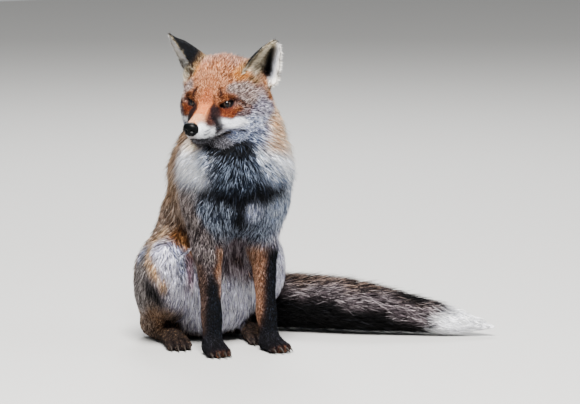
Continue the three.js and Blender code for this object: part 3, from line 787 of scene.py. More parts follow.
# Hair shades itself, so each colour is deepened, and pale tips less than the rest.
deeper, tip_deeper = 1.22, 1.1
shade = {}
for name, (middle, pale, dark, pale_share, dark_share) in rows_of(fur):
    hues = [linear(middle) ** deeper, linear(pale) ** tip_deeper, linear(dark) ** deeper]
    shade[name] = np.concatenate(hues + [[float(pale_share), float(dark_share)]])


def wander(spots, size, amount, key):
    """Smooth small moves of the points, so that no marking ends in a ruled line."""
    rng = np.random.default_rng(key)
    moved = spots.copy()
    for _ in range(5):
        way, push = unit(rng.normal(size=3)), unit(rng.normal(size=3))
        waves = spots @ way * (2 * math.pi / size) * rng.uniform(0.6, 1.8) + rng.uniform(0, 6.3)
        moved += amount * push * np.sin(waves)[:, None]
    return moved


def markings(spots, marks):
    """Each point's colours, from the marks around it: the nearer, the stronger."""
    mark_core, mark_edge = 0.3, 5
    total, weights = np.zeros((len(spots), 11)), np.zeros(len(spots))
    for name, figures in rows_of(marks):
        *ends, size = map(float, figures)
        far, _ = off_line(spots, np.reshape(ends, (2, 3)))
        weight = 1 / np.maximum(far / size, mark_core) ** mark_edge
        total += weight[:, None] * shade[name]
        weights += weight
    return total / weights[:, None]


def mixed(low, high, share):
    """One set of colours turning into another by each point's share."""
    return low + (high - low) * share[:, None]


# Every point's colours: middle, pale tip and dark tip, and the shares of pale and dark hair.
coat = np.zeros((count, 11))
mirrored = wander(face, 26, 0.9, 3)
mirrored[:, 0] = np.abs(mirrored[:, 0])
coat[on_head] = markings(mirrored[on_head], head_marks)
strayed = wander(points, 45, 2.2, 4)
coat[on_body] = markings(strayed[on_body], body_marks)
front_limbs, hind_limbs = on_forelegs | on_forepaws, on_hindlegs | on_hindpaws
coat[front_limbs] = markings(wander(points, 30, 1.0, 5)[front_limbs], foreleg_marks)
coat[hind_limbs] = markings(strayed[hind_limbs], hindleg_marks)
# The ears: black backs, brown at the root, and a cream cup with a white outer rim. The dark band in
# the cup beside that rim, and the notch low on it, are painted shade in the ear's hollows.
black_from = ear_share + 0.03 * np.sin(face[:, 0])
backs = mixed(shade["ear_base"], shade["ear_black"], ramp(black_from, 0.16, 0.36))
# Painted shade: a dark band down the cup's hollow, beside its outer rim.
slot = 1 - ramp(np.abs(ear_round - 0.44 + 0.45 * ear_share), 0.14, 0.32)
slot *= 1 - ramp(ear_share, 0.74, 0.86)
insides = mixed(shade["ear_cream"], shade["ear_white"], ramp(ear_round, 0.3, 0.6))
insides = mixed(insides, shade["ear_cavity"], slot)
insides = mixed(insides, shade["ear_rim"], ramp(ear_round, 0.68, 0.84))
by_root = (1 - ramp(ear_share, 0.0, 0.07)) * ramp(ear_round, 0.5, 0.7)
insides = mixed(insides, shade["ear_base"], by_root)
insides = mixed(insides, shade["ear_black"], ramp(ear_share, 0.92, 0.97))
inner_rim = ramp(-ear_round, 0.89, 0.95) * ramp(ear_share, 0.15, 0.3)
insides = mixed(insides, shade["ear_black"], inner_rim)
# Painted shade in the small notch low on the outer rim.
from_notch = np.hypot((ear_share - 0.3) / 0.05, (ear_round - 0.93) / 0.06)
notch = (1 - ramp(from_notch, 0.6, 1.3)) * (ear_share > 0.1)
insides = mixed(insides, shade["ear_cavity"], notch)
coat[on_ears] = np.where(ear_inside[:, None] > 0.5, insides, backs)[on_ears]
# The brush: black below, a pale grizzled band along its side, a brown ridge, and a white tip.
tail_radii = [20, 26, 31, 33, 32, 26, 20, 12, 3]
tail_radius = np.maximum(np.interp(tail_share, tail_reach, tail_radii), 2)
height = (points[:, 2] - tail_foot[:, 2]) / tail_radius
height = height + 0.1 * np.sin(tail_share * 37) + 0.07 * np.sin(tail_share * 83 + 1)
band_shares = [0, 0.35, 0.6, 0.74, 0.82]
low = np.interp(tail_share, band_shares, [0.42, 0.42, 0.08, -0.2, -0.45])
high = np.interp(tail_share, band_shares, [0.72, 0.7, 0.64, 0.5, 0.42])
tail_coat = mixed(shade["tail_black"], shade["tail_light"], ramp(height - low, -0.22, 0.26))
tail_coat = mixed(tail_coat, shade["tail_brown"], ramp(height - high, -0.1, 0.2))
before_tip = ramp(tail_share, 0.6, 0.72) * ramp(height - high, 0.0, 0.25)
tail_coat = mixed(tail_coat, shade["tail_black"], before_tip)
white_from = tail_share + 0.012 * np.sin(points[:, 2] * 0.5) - 0.03 * ramp(height, 0.1, 0.7)
tail_coat = mixed(tail_coat, shade["tail_white"], ramp(white_from, 0.795, 0.825))
coat[on_tail] = tail_coat[on_tail]
coat = blur(coat, 2)
one_side = np.column_stack([np.abs(face[:, 0]), face[:, 1:]])
for name, figures in rows_of(head_lines):
    half, strength, *path = map(float, figures)
    far, _ = off_line(mirrored, np.reshape(path, (-1, 3)))
    coat = mixed(coat, shade[name], strength * (1 - ramp(far, half * 0.45, half * 1.3)) * on_head)

# The pale hair in the right ear's cup spills over its root.
far, _ = off_line(face, np.array([[-78, 43, 36], [-66, 31, 26]], float))
coat = mixed(coat, shade["ear_cream"], 0.85 * (1 - ramp(far, 6, 11)) * on_head)

# Painted shade in the clefts between the toes, and dark bare lips, lids and tear lines, drawn in
# last.
coat = mixed(coat, shade["smudge"], 0.85 * between_toes)
from_mouth, along_mouth = off_line(one_side, mouth_line)
dark_skin = np.concatenate([linear("08070a"), linear("1c1a20"), linear("040405"), [0.1, 0.4]])
lips = np.exp(-((from_mouth / (2.0 + 1.2 * along_mouth)) ** 2)) * on_head
coat = mixed(coat, dark_skin, np.clip(lips * 1.3, 0, 1))
bare = lips > 0.6
for side in (1, -1):
    spot, axes = eye_frames[side]
    local = (points - spot) @ axes
    rim_far = np.hypot(local[:, 0] / 10.2, local[:, 1] / 5.3)
    rim_far = np.where(local[:, 2] > 0, rim_far, 9)
    tear, _ = off_line(local, np.array([[-9.0, -0.5, 5], [-15, -4.5, 3]]))
    trail, _ = off_line(local, np.array([[9.0, 0.6, 5], [15, 1.5, 0]]))
    drawn = np.clip(1.5 - 1.6 * np.maximum(rim_far - 0.95, 0) / 0.28, 0, 1)
    drawn = np.maximum(drawn, 1 - ramp(tear, 1.6, 3.6))
    drawn = np.maximum(drawn, 0.8 * (1 - ramp(trail, 1.2, 3.0)))
    coat = mixed(coat, dark_skin, np.clip(drawn, 0, 1) * on_head)
    bare |= (rim_far < 1.12) & on_head


# ---- Hide and hair finish ----------------------------------------------------------------------
# The hide is a matt under-fur, darker than the coat above it as painted shade deep in the coat, and
# the hair has a dull sheen. Both take their marking from the points and break it up with the same
# fine grain.

def paint(mesh, colours):
    """Point colours, under the name by which the materials read them."""
    layer = mesh.color_attributes.new("marking", "FLOAT_COLOR", "POINT")
    solid = np.column_stack([colours, np.ones(len(colours))])
    layer.data.foreach_set("color", solid.astype(np.float32).ravel())


def shade_smooth(mesh):
    mesh.polygons.foreach_set("use_smooth", [True] * len(mesh.polygons))


def new_material(name):
    """A new material, its nodes and its shader."""
    material = bpy.data.materials.new(name)
    material.use_nodes = True
    return material, material.node_tree, material.node_tree.nodes["Principled BSDF"]


def feed(tree, node, values):
    """Fills a node's sockets, each with a number, a colour's hex code or another node's output."""
    for socket, value in values.items():
        if isinstance(value, bpy.types.NodeSocket):
            tree.links.new(value, node.inputs[socket])
        elif isinstance(value, str):
            node.inputs[socket].default_value = (*linear(value), 1)
        else:
            node.inputs[socket].default_value = value


def add_node(tree, kind, output, values, **settings):
    """A shader node with its settings made and its sockets filled. Gives one of its outputs."""
    node = tree.nodes.new("ShaderNode" + kind)
    for setting, value in settings.items():
        setattr(node, setting, value)
    feed(tree, node, values)
    return node.outputs[output]


def math_node(tree, operation, *values):
    """A sum of numbers and other nodes' outputs."""
    return add_node(tree, "Math", "Value", dict(enumerate(values)), operation=operation)


def raise_grain(tree, height, strength, distance):
    """A grain's height as small bumps in the surface. Distance is in metres."""
    values = {"Height": height, "Strength": strength, "Distance": distance}
    return add_node(tree, "Bump", "Normal", values)


# Hair is never one tone: the group breaks a marking up into finer and coarser grain.
hair_tone = bpy.data.node_groups.new("hair_tone", "ShaderNodeTree")
for label, kind, way in (
    ("Marking", "Color", "INPUT"), ("Grain", "Float", "INPUT"), ("Spread", "Float", "INPUT"),
    ("Color", "Color", "OUTPUT"), ("Height", "Float", "OUTPUT"),
):  # fmt: skip
    hair_tone.interface.new_socket(label, in_out=way, socket_type="NodeSocket" + kind)
inlet = hair_tone.nodes.new("NodeGroupInput").outputs
place = add_node(hair_tone, "TexCoord", "Object", {})
grain_values = {"Vector": place, "Scale": inlet["Grain"], "Detail": 4, "Roughness": 0.65}
grain = add_node(hair_tone, "TexNoise", "Fac", grain_values)
about = math_node(hair_tone, "MULTIPLY_ADD", grain, 4.0, -2.0)
scale = math_node(hair_tone, "MULTIPLY_ADD", about, inlet["Spread"], 1.0)
toned_values = {0: inlet["Marking"], "Scale": scale}
toned = add_node(hair_tone, "VectorMath", "Vector", toned_values, operation="SCALE")
feed(hair_tone, hair_tone.nodes.new("NodeGroupOutput"), {"Color": toned, "Height": grain})


def hair_material(name, grain_size, spread, roughness, bump):
    """A hairy surface: its marking through the hair's own grain, with the same grain raised."""
    material, tree, shader = new_material(name)
    marking = add_node(tree, "Attribute", "Color", {}, attribute_name="marking")
    tone = tree.nodes.new("ShaderNodeGroup")
    tone.node_tree = hair_tone
    feed(tree, tone, {"Marking": marking, "Grain": grain_size, "Spread": spread})
    feed(tree, shader, {
        "Base Color": tone.outputs["Color"],
        "Normal": raise_grain(tree, tone.outputs["Height"], bump, 0.0006),
        "Roughness": roughness,
        "Specular IOR Level": 0.06,
    })  # fmt: skip
    return material


# The hide shows through the coat's gaps, so it takes the coat's colours darkened as painted shade,
# less so under white hair.
under_light = 0.42 + 0.35 * ramp(coat[:, 0:3].min(1), 0.6, 0.85)
paint(hide.data, coat[:, 0:3] * under_light[:, None])
hide.data.materials.append(hair_material("under_fur", 900, 0.5, 0.85, 0.7))
shade_smooth(hide.data)
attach(hide, "root")
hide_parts(*flesh)
bpy.context.view_layer.objects.active = hide
hide.select_set(True)
bpy.ops.object.mode_set(mode="EDIT")
bpy.ops.mesh.select_all(action="SELECT")
bpy.ops.uv.smart_project(angle_limit=math.radians(66), island_margin=0.002)
bpy.ops.object.mode_set(mode="OBJECT")
hide.data.uv_layers[0].name = "OFBake"
corner_uv = np.zeros(len(hide.data.loops) * 2, np.float32)
hide.data.uv_layers["OFBake"].data.foreach_get("uv", corner_uv)
corner_uv = corner_uv.reshape(-1, 3, 2)

corner = points[triangles]
sides = np.cross(corner[:, 1] - corner[:, 0], corner[:, 2] - corner[:, 0])
area = np.linalg.norm(sides, axis=1) / 2
over_hide = BVHTree.FromPolygons(points.tolist(), triangles.tolist())
fur_hair = hair_material("fur", 1600, 0.16, 0.6, 0.25)


# ---- The coat ----------------------------------------------------------------------------------
# The coat is laid as tufts of hair, each a slim solid taper rooted in the hide. Guard hairs stand a
# little proud of the rest, and neighbouring tufts draw their ends together in locks.

def follow(spots):
    """The nearest place on the hide to each point, with its normal, lie, coat depth and colours."""
    found = [over_hide.find_nearest(p) for p in spots.tolist()]
    where = np.array([f[0][:] for f in found])
    corners = triangles[np.array([f[2] for f in found])]
    normal, lie = unit(normals[corners].mean(1)), unit(comb[corners].mean(1))
    return where, normal, lie, depth[corners].mean(1), coat[corners].mean(1)


def plant(
    name, where, number, width, key,
    stray=12, bends=True, clump=0.0, free=None, dim=0.27,
):  # fmt: skip
    """A coat piece: tufts rooted in the hide where the weight says, laid along the hair's lie.

    Width is a tuft's, and stray the degrees by which it may leave the lie. Bent tufts follow the
    hide, clump gathers them in locks, and free ones follow their own way.
    """
    guard_share, lock_size, root_sunk, lowest_hair, half_patch = 0.14, 9, 0.7, 0.25, 0.0015
    rng = np.random.default_rng(key)
    weight = area * (where * ~buried)[triangles].mean(1)
    running = np.cumsum(weight)
    drawn = (np.arange(number) + rng.random(number)) / number * running[-1] * 0.999999
    pick = np.searchsorted(running, drawn)
    share = rng.random((number, 2))
    share = np.where(share.sum(1, keepdims=True) > 1, 1 - share, share)
    share = np.column_stack([1 - share.sum(1), share])
    corners = triangles[pick]

    def at_root(values):
        picked = values[corners]
        return (picked * share.reshape(share.shape + (1,) * (picked.ndim - 2))).sum(1)

    root, up = at_root(points), unit(at_root(normals))
    lie = unit(at_root(comb if free is None else free))
    turn = rng.normal(0, stray, number) * np.where(rng.random(number) < 0.15, 2.2, 1)
    turn = np.radians(turn)[:, None]
    lie = unit(lie * np.cos(turn) + np.cross(up, lie) * np.sin(turn))
    long = at_root(length) * rng.uniform(0.6, 1.3, number)
    wide = width * rng.uniform(0.65, 1.3, number)
    thick, rise = at_root(depth), at_root(upright)
    guard = rng.random(number) < guard_share
    high = thick * np.where(guard, rng.uniform(1.0, 1.5, number), rng.uniform(0.35, 1.05, number))
    high = np.maximum(high, long * 0.08)
    wide, long = np.where(guard, wide * 0.5, wide), np.where(guard, long * 1.2, long)
    mine = at_root(coat)
    line, ups, ways = [root - up * root_sunk], [up], [lie]
    if free is not None:
        line += [root + lie * (long * 0.5)[:, None] + up * 0.6, root + lie * long[:, None]]
        ups.append(up)
        ways.append(lie)
        mine_end = mine
    elif bends:
        lift = (long * rise)[:, None]
        spot, normal, way, _, mine = follow(root + lie * (long * 0.5)[:, None])
        way = unit(lie + way - ((lie + way) * normal).sum(1)[:, None] * normal)
        sway = np.radians(rng.normal(0, stray * 0.8, number))[:, None]
        way = unit(way * np.cos(sway) + np.cross(normal, way) * np.sin(sway))
        line.append(spot + normal * (high * 0.62)[:, None] + normal * lift * 0.4)
        ups.append(normal)
        ways.append(way)
        end, normal, _, deep, mine_end = follow(spot + way * (long * 0.5)[:, None])
        end_high = np.minimum(high, deep * 1.45 + 0.5)[:, None]
        line.append(end + normal * end_high + normal * lift * 0.9)
    else:
        line.append(root + lie * long[:, None] + up * (high + long * rise)[:, None])
        mine_end = mine
    tone = rng.uniform(0.72, 1.26, number)
    if clump:
        # Hair gathers in locks: each tuft leans its end towards that of the lock's middle tuft.
        middles = np.arange(0, number, lock_size)
        tree = KDTree(len(middles))
        for k, p in enumerate(line[-2][middles].tolist()):
            tree.insert(p, k)
        tree.balance()
        lock = middles[[tree.find(p)[1] for p in line[-2].tolist()]]
        apart = np.linalg.norm(line[-1][lock] - line[-1], axis=1)
        pull = (clump * rng.uniform(0.3, 1.15, number) * (1 - ramp(apart, 12, 24)))[:, None]
        line[-1] = line[-1] + pull * (line[-1][lock] - line[-1])
        line[-2] = line[-2] + 0.35 * pull * (line[-2][lock] - line[-2])
        tone *= rng.uniform(0.6, 1.34, number)[lock]
    rings = len(line) - 1
    spots = []
    for r in range(rings):
        side = unit(np.cross(ups[r], ways[r])) * (wide * (0.42, 0.5)[r])[:, None]
        spots += [line[r] - side, line[r] + ups[r] * (wide * 0.28)[:, None], line[r] + side]
    spots.append(line[-1])
    per = len(spots)
    spots = np.stack(spots, 1)
    spots[:, :, 2] = np.maximum(spots[:, :, 2], lowest_hair)
    faces = [[0, 1, 2]]
    for r in range(rings - 1):
        a = 3 * r
        for i, j in ((0, 1), (1, 2), (2, 0)):
            faces += [[a + i, a + 3 + i, a + 3 + j], [a + i, a + 3 + j, a + j]]
    a = 3 * (rings - 1)
    faces += [[a, per - 1, a + 1], [a + 1, per - 1, a + 2], [a + 2, per - 1, a]]
    faces = (np.array(faces)[None] + (np.arange(number) * per)[:, None, None]).reshape(-1, 3)
    piece = cast(name, spots.reshape(-1, 3), faces.ravel(), 3)

    kind = rng.random(number)
    pale, dark = (kind < mine_end[:, 9])[:, None], (kind > 1 - mine_end[:, 10])[:, None]
    plain, paler, darker = (mine[:, k : k + 3] for k in (0, 3, 6))
    paler, darker = 0.7 * plain + 0.3 * paler, 0.5 * plain + 0.5 * darker
    middle = np.where(pale, paler, np.where(dark, darker, plain))
    plain, paler, darker = (mine_end[:, k : k + 3] for k in (0, 3, 6))
    tip = np.where(pale, paler, np.where(dark, darker, plain))
    # The roots are painted darker, as shade deep in the coat. White hair keeps more of its light at
    # the root, and varies less.
    white = ramp(plain.min(1), 0.6, 0.85)
    tone = (1 + (tone - 1) * (1 - 0.7 * white))[:, None]
    shaded = dim if rings > 1 else 0.55
    hues = [middle * (shaded + (0.85 - shaded) * white)[:, None] * tone] * 3
    hues += [middle * tone] * (3 * (rings - 1)) + [tip * tone]
    paint(piece.data, np.clip(np.stack(hues, 1), 0, 1).reshape(-1, 3))

    # Each tuft is a patch of the hide's own unwrap, at its root.
    home = (corner_uv[pick] * share[:, :, None]).sum(1)
    patch = []
    for r in range(rings):
        v = -half_patch + 2 * half_patch * r / rings
        patch += [(-half_patch, v), (0, v), (half_patch, v)]
    patch.append((0, half_patch))
    spread = home[:, None, :] + np.array(patch)[None]
    layer = piece.data.uv_layers.new(name="OFBake")
    layer.data.foreach_set("uv", spread.reshape(-1, 2)[faces.ravel()].astype(np.float32).ravel())
    shade_smooth(piece.data)
    piece.data.materials.append(fur_hair)
    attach(piece, "root")
    return piece


# Hair is short on face, ears and feet and longest on brush and ruff. It stands up a little on the
# crown, round the neck and low on the chest, and lies flatter elsewhere.
open_hide = np.where(bare, 0.0, 1.0)
frontness = ramp(face[:, 1], -50, 10)
in_front = ramp(-normals[:, 1], -0.1, 0.5)
belly = 1 - ramp(points[:, 2], 120, 170)
neck_sides = ramp(np.abs(points[:, 0] + 12), 20, 60)
length = 25 + 8 * ramp(points[:, 2], 250, 300) * neck_sides + 9 * belly * in_front
head_ruff = 12 * ramp(face[:, 1], -5, 35) * ramp(-face[:, 2], -5, 25)
length[on_head] = (3.4 + 8.5 * frontness + head_ruff)[on_head]
length[on_forelegs] = (5 + 14 * ramp(points[:, 2], 110, 200))[on_forelegs]
length[on_paws] = 3.6
length[on_hindlegs] = (7 + 17 * ramp(points[:, 2], 30, 90))[on_hindlegs]
length[on_tail] = (34 - 17 * ramp(tail_share, 0.82, 1.0))[on_tail]
length[on_ears] = 4.5
length = blur(length, 10)
upright = np.zeros(count)
crown = 0.28 * ramp(face[:, 2], 34, 56) * ramp(face[:, 1], -34, 0) + 0.08 * ramp(face[:, 2], 14, 34)
upright[on_head] = (crown + 0.12 * ramp(face[:, 1], -10, 30))[on_head]
upright[on_body] = (0.26 * ramp(points[:, 2], 270, 300) + 0.12 * belly * in_front)[on_body]
upright[on_tail] = 0.14 * ramp(height, 0.2, 0.9)[on_tail]
upright = blur(upright, 6)


# ---- Head and ears -----------------------------------------------------------------------------
# The head wears the shortest and finest hair, velvet on the muzzle and the ears' backs, longer over
# crown and cheeks. Real guard hairs are finer still: each taper here stands for a small tuft.

muzzle_zone = on_head & (face[:, 1] < -30)
plant("coat_muzzle", open_hide * muzzle_zone, 17000, 0.85, 11, stray=9, bends=False)
plant("coat_head", open_hide * (on_head & ~muzzle_zone), 19500, 1.05, 12, stray=14, clump=0.3)
plant("coat_ears", open_hide * on_ears, 12000, 0.9, 13, bends=False)


# ---- Neck and trunk ----------------------------------------------------------------------------
# The ruff and bib are the deepest hair on the body. Below them chest, belly, back and flanks carry
# coarse grizzled hair that hangs downwards in locks.

on_neck, on_trunk, in_fore = is_part("neck"), is_part("trunk"), points[:, 1] < 60
plant("coat_neck", open_hide * on_neck, 18500, 1.8, 14, stray=13, clump=0.5)
breast, rump = open_hide * (on_trunk & in_fore), open_hide * (on_trunk & ~in_fore)
plant("coat_front", breast, 19500, 1.8, 15, stray=14, clump=0.5)
plant("coat_back", rump, 19500, 2.0, 16, stray=14, clump=0.5)


# ---- Legs, feet and brush ----------------------------------------------------------------------
# Close hair lies down the legs and over the toes. The brush is the longest hair of all, sweeping
# outwards from the tail's bone to its white tip.

plant("coat_forelegs", open_hide * front_limbs, 18000, 1.0, 17, clump=0.25)
plant("coat_hindlegs", open_hide * hind_limbs, 18500, 1.7, 18, stray=14, clump=0.45)
plant("coat_tail", open_hide * on_tail, 19500, 2.0, 19, stray=11, clump=0.3)


# ---- The ears' fringes -------------------------------------------------------------------------
# Long pale hair grows from the ears' inner rims across their openings, and frays their outer rims.
# It stands free of the hide and isn't bent to it.

fringe_way = unit(ear_across + 0.35 * unit(ear_way)) @ head_axes.T
length[on_ears] = np.where(ear_round < 0, 15 - 9 * ear_share, 6.5 - 2 * ear_share)[on_ears]
fringe = on_ears * (ear_inside > 0.5) * (ear_share > 0.06) * (ear_share < 0.93)
inner_fringe, outer_fringe = (ear_round > -0.86) * (ear_round < -0.4), ear_round > 0.72
fringe = fringe * np.where(ear_round < 0, inner_fringe, 0.5 * outer_fringe)
plant("coat_ear_fringe", fringe, 3600, 0.8, 20, stray=14, free=fringe_way, dim=0.8)


# ---- The eyes ----------------------------------------------------------------------------------
# Each eye is a glass ball as a taxidermist sets it: a dark amber iris round an upright pupil, under
# a clear cornea. It sits loose in the lids, in the hollow that the head leaves for it.


def ramp_node(tree, source, stops):
    """Colours along a value. The first two stops are its ends, and the rest come between them."""
    node = tree.nodes.new("ShaderNodeValToRGB")
    for k, (spot, code) in enumerate(stops):
        step = node.color_ramp.elements[k] if k < 2 else node.color_ramp.elements.new(spot)
        step.position, step.color = spot, (*linear(code), 1)
    feed(tree, node, {"Fac": source})
    return node.outputs["Color"]


def mix_node(tree, share, one, two):
    """One colour turning into another by a share."""
    return add_node(tree, "Mix", 2, {0: share, 6: one, 7: two}, data_type="RGBA")


def away_node(tree, across, up):
    """How far a place lies from the middle, by its two measures from it."""
    squares = [math_node(tree, "POWER", value, 2) for value in (across, up)]
    return math_node(tree, "SQRT", math_node(tree, "ADD", *squares))


# The iris is 6.3 mm in radius, and the pupil an upright slit within it.
iris_radius = 6.3
eye_glass, tree, shader = new_material("eye_glass")
place = add_node(tree, "TexCoord", "Object", {})
split = tree.nodes.new("ShaderNodeSeparateXYZ")
feed(tree, split, {"Vector": place})
across_eye = math_node(tree, "MULTIPLY", split.outputs["X"], 1000 / iris_radius)
up_eye = math_node(tree, "MULTIPLY", split.outputs["Y"], 1000 / iris_radius)
fibres = add_node(tree, "TexNoise", "Fac", {"Vector": place, "Scale": 900, "Detail": 3})
frayed = math_node(tree, "MULTIPLY", math_node(tree, "SUBTRACT", fibres, 0.5), 0.28)
from_pupil = math_node(tree, "ADD", away_node(tree, across_eye, up_eye), frayed)
iris_stops = [
    (0.0, "2a1c12"), (0.98, "060505"), (0.45, "2c1e12"), (0.78, "181210"), (0.9, "0c0908"),
]  # fmt: skip
iris = ramp_node(tree, from_pupil, iris_stops)
slit = [math_node(tree, "MULTIPLY", *pair) for pair in ((across_eye, 2.0), (up_eye, 1.25))]
in_pupil = math_node(tree, "LESS_THAN", away_node(tree, *slit), 1.0)
feed(tree, shader, {
    "Base Color": mix_node(tree, in_pupil, iris, "020203"),
    "Roughness": 0.12,
    "Specular IOR Level": 0.15,
    "Coat Weight": 0.12,
    "Coat Roughness": 0.03,
})  # fmt: skip


def make_smooth(mesh):
    """Joins points that lie on one another, turns all faces outwards and shades them smooth."""
    form = bmesh.new()
    form.from_mesh(mesh)
    bmesh.ops.remove_doubles(form, verts=form.verts, dist=1e-6)
    bmesh.ops.recalc_face_normals(form, faces=form.faces)
    form.to_mesh(mesh)
    form.free()
    shade_smooth(mesh)


for side, name in ((1, "eye_left"), (-1, "eye_right")):
    spot, axes = eye_frames[side]
    rings, spokes, ball = 36, 48, []
    for r in range(rings + 1):
        tilt = math.pi * r / rings
        # The cornea stands 0.55 mm proud of the ball.
        radius = eye_radius + 0.55 * math.exp(-((tilt / 0.55) ** 4))
        for k in range(spokes):
            turn = 2 * math.pi * k / spokes
            across, up = math.sin(tilt) * math.cos(turn), math.sin(tilt) * math.sin(turn)
            ball.append([radius * across, radius * up, radius * math.cos(tilt)])
    ball_faces = [[a, a + spokes, b + spokes, b] for a, b in ring_pairs(rings, spokes)]
    mesh = bpy.data.meshes.new(name + "_glass")
    mesh.from_pydata([[c / 1000 for c in p] for p in ball], [], ball_faces)
    make_smooth(mesh)
    mesh.materials.append(eye_glass)
    eye = add_object(name + "_glass", mesh)
    sideways = axes[:, 0] if np.linalg.det(axes) > 0 else -axes[:, 0]
    gaze = np.identity(4)
    gaze[:3, :3] = np.stack([sideways, axes[:, 1], axes[:, 2]], 1)
    gaze[:3, 3] = (spot + floor_spot) / 1000
    eye.matrix_world = Matrix(gaze.tolist())
    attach(eye, "root")
    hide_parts(name)


# ---- The nose pad ------------------------------------------------------------------------------
# The nose is bare black hide, wet and finely pebbled, with comma-shaped nostrils and a groove down
# its front. It is moulded on its own and set into the end of the muzzle.

nose_middle, nose_size = np.array([0, -111.4, -21]), np.array([11.6, 8.6, 10.9])
rings, spokes = 60, 80
tilt = np.linspace(0, math.pi, rings + 1)[:, None]
turn = np.linspace(0, 2 * math.pi, spokes, endpoint=False)[None, :]
ball = [np.sin(tilt) * np.cos(turn), np.cos(tilt) + 0 * turn, np.sin(tilt) * np.sin(turn)]
ball = np.stack(ball, -1).reshape(-1, 3)
pad = np.sign(ball) * np.abs(ball) ** 0.88
pad[:, 1] = -np.abs(ball[:, 1]) ** 0.9 * np.sign(ball[:, 1])
pad *= nose_size
pad[:, 0] *= 1 + 0.10 * ramp(pad[:, 2], -9, 5) - 0.16 * ramp(-pad[:, 2], 1, 11)
pad[:, 1] -= 1.2 * ramp(pad[:, 2], -2, 9) * (pad[:, 1] < 0) * (1 - (pad[:, 0] / 14) ** 2)
front = pad[:, 1] < 2
nostril = np.array([[4.6, -8, -0.6], [6.6, -7, -1.6], [9.6, -4.5, -3.6], [11.5, -1, -4.6]])
mirrored_pad = pad.copy()
mirrored_pad[:, 0] = np.abs(pad[:, 0])
far, way = off_line(mirrored_pad, nostril)
dig = np.exp(-((far / (2.3 - 1.1 * way)) ** 2)) * (1 - 0.5 * way)
pad -= unit(pad / nose_size**2) * (2.8 * dig * front)[:, None]
wing = np.exp(-(((far - 3.4) / 1.3) ** 2)) * (mirrored_pad[:, 2] > -6)
pad += unit(pad / nose_size**2) * (0.5 * wing * front)[:, None]
pad[:, 1] += 1.3 * np.exp(-((pad[:, 0] / 0.9) ** 2)) * ramp(-pad[:, 2], -3, 6) * (pad[:, 1] < 0)
corners = [i for a, b in ring_pairs(rings, spokes) for i in (a, a + spokes, b + spokes, b)]
nose = cast("nose_pad", from_head(pad + nose_middle), corners, 4)
make_smooth(nose.data)
nose_hide, tree, shader = new_material("nose_hide")
place = add_node(tree, "TexCoord", "Object", {})
pebbles = add_node(tree, "TexVoronoi", "Distance", {"Vector": place, "Scale": 900})
tone = add_node(tree, "TexNoise", "Fac", {"Vector": place, "Scale": 160})
feed(tree, shader, {
    "Base Color": mix_node(tree, tone, "000101", "030304"),
    "Normal": raise_grain(tree, pebbles, 0.5, 0.0003),
    "Roughness": 0.36,
    "Specular IOR Level": 0.06,
})  # fmt: skip
nose.data.materials.append(nose_hide)
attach(nose, "root")
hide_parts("nose")


# ---- Whiskers ----------------------------------------------------------------------------------
# Stiff black bristles in rows on the upper lip, with a few over the eyes. Each is a long thin
# taper, thick enough to be set by hand.

def bristles(name, starts, ways, longs, thick, sag, key):
    """Long four-sided tapers from spots on the head, each sagging a little along its way."""
    rng = np.random.default_rng(key)
    spots, faces = [], []
    for start, way, long in zip(starts, ways, longs):
        way = unit(np.array(way) + rng.normal(0, 0.06, 3))
        side = unit(np.cross(way, [0, 0, 1.0]))
        over = np.cross(side, way)
        base = len(spots)
        cuts = 7
        for k in range(cuts):
            t = k / (cuts - 1)
            fall = np.array([0, 0, -1.0]) * sag * long * t * t
            middle = np.array(start) + way * long * t + fall
            radius = thick / 2 * (1 - t) ** 0.8 + 0.04
            for j in range(4):
                angle = j * math.pi / 2
                spots.append(middle + radius * (side * math.cos(angle) + over * math.sin(angle)))
        for a, b in ring_pairs(cuts - 1, 4, base):
            faces += [a, b, b + 4, a + 4]
    return cast(name, from_head(np.array(spots)), faces, 4)


starts, ways, longs = [], [], []
for side in (1, -1):
    for row in range(4):
        for k in range(5):
            a = 12.5 + 2.2 * k - 0.6 * abs(row - 1.5)
            starts.append([side * a, -88 + 7.5 * k + 2 * row, -25 - 3.6 * row])
            ways.append([side * (0.72 + 0.05 * k), 0.62 + 0.04 * k, 0.12 - 0.2 * row])
            longs.append(26 + 7 * k - 3 * row)
    for k in range(4):
        starts.append([side * (17 + 3 * k), -42 + 3 * k, 17 + k])
        ways.append([side * 0.6, -0.1 + 0.3 * k, 0.9])
        longs.append(19)
whiskers = bristles("whiskers", starts, ways, longs, 0.55, 0.16, 31)
bristle, tree, shader = new_material("bristle")
place = add_node(tree, "TexCoord", "Object", {})
tone = add_node(tree, "TexNoise", "Fac", {"Vector": place, "Scale": 90})
feed(tree, shader, {"Base Color": mix_node(tree, tone, "0c0a0b", "3a3030"), "Roughness": 0.35})
whiskers.data.materials.append(bristle)
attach(whiskers, "root")


# ---- Claws -------------------------------------------------------------------------------------
# Four blunt, slightly hooked claws of dark horn on each foot, growing out of the ends of the toes.

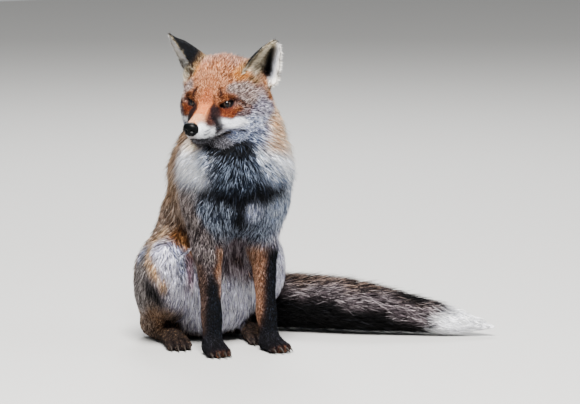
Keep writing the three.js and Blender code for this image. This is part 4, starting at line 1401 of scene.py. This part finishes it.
toe_spots, toe_reach, toe_radius = [-14, -5, 5, 14], [23, 30, 30, 23], 7.4
spots, faces = [], []
for (x, y), turned in feet:
    c, s = math.cos(math.radians(turned)), math.sin(math.radians(turned))
    for toe, reach in zip(toe_spots, toe_reach):
        base, cuts, around = len(spots), 9, 10
        for k in range(cuts):
            t = k / (cuts - 1)
            out = reach + toe_radius - 4 + 13 * t
            high = 8.2 - 5.6 * t * t
            wide, tall = 1.9 * (1 - t) ** 0.7 + 0.3, 2.4 * (1 - t) ** 0.65 + 0.35
            for j in range(around):
                angle = 2 * math.pi * j / around
                px, py = toe * 1.06 + wide * math.cos(angle), -out
                belly_share = 1 if math.sin(angle) > 0 else 0.75
                pz = high + tall * math.sin(angle) * belly_share
                spots.append([x + c * px - s * py, y + s * px + c * py, pz])
        faces += [[a, b, b + around, a + around] for a, b in ring_pairs(cuts - 1, around, base)]
        faces.append([base + around * (cuts - 1) + j for j in range(around)])
mesh = bpy.data.meshes.new("claws")
mesh.from_pydata(((np.array(spots) + floor_spot) / 1000).tolist(), [], faces)
make_smooth(mesh)
claws = add_object("claws", mesh)
horn, tree, shader = new_material("claw_horn")
place = add_node(tree, "TexCoord", "Object", {})
stretched = add_node(tree, "Mapping", "Vector", {"Vector": place, "Scale": (900, 120, 900)})
tone = add_node(tree, "TexNoise", "Fac", {"Vector": stretched, "Scale": 1})
feed(tree, shader, {
    "Base Color": mix_node(tree, tone, "0e0b0a", "251d17"),
    "Normal": raise_grain(tree, tone, 0.3, 0.0002),
    "Roughness": 0.52,
    "Specular IOR Level": 0.18,
})  # fmt: skip
mesh.materials.append(horn)
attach(claws, "root")


# ---- The stand-in studio -----------------------------------------------------------------------
# A plain pale floor under three soft lamps, and a long lens a little above the fox's eyes, six
# metres off.

view_turn, view_rise = math.radians(-24), math.radians(8)
toward = np.array([math.sin(view_turn), -math.cos(view_turn), 0]) * math.cos(view_rise)
toward[2] = math.sin(view_rise)
right = np.array([math.cos(view_turn), math.sin(view_turn), 0])
above = np.cross(toward, right)
aim = 72.85 * right + 232.5 * above
lens_away = 6000
lens = bpy.data.cameras.new("view")
lens.lens, lens.sensor_width = 240.0, 36.0
viewer = add_object("view", lens)
viewer.location = (aim + toward * lens_away + floor_spot) / 1000
viewer.rotation_euler = Vector(-toward).to_track_quat("-Z", "Y").to_euler()
bpy.context.scene.camera = viewer

world = bpy.data.worlds.new("sky")
bpy.context.scene.world = world
world.use_nodes = True
sky = {"Color": (0.86, 0.88, 0.9, 1), "Strength": 0.5}
feed(world.node_tree, world.node_tree.nodes["Background"], sky)
floor_half = 6000
floor_corners = floor_half * np.array([[-1.0, -1, 0], [1, -1, 0], [1, 1, 0], [-1, 1, 0]])
floor = cast("floor", floor_corners, [0, 1, 2, 3], 4)
pale_floor, tree, shader = new_material("pale_floor")
feed(tree, shader, {"Base Color": (0.3, 0.297, 0.29, 1), "Roughness": 0.9})
floor.data.materials.append(pale_floor)
for name, spot, size, power, tint in (
    ("key", (-1.1, -2.2, 3.4), 1.6, 1180, (1, 0.98, 0.95)),
    ("fill", (2.6, -1.8, 1.6), 1.8, 80, (0.9, 0.95, 1)),
    ("rim", (0.9, 2.4, 2.6), 1.2, 200, (1, 1, 1)),
):
    lamp = bpy.data.lights.new(name, "AREA")
    lamp.size, lamp.energy, lamp.color = size, power, tint
    holder = add_object(name, lamp)
    holder.location = spot
    beam = Vector((-0.15, -0.05, 0.25)) - Vector(spot)
    holder.rotation_euler = beam.to_track_quat("-Z", "Y").to_euler()
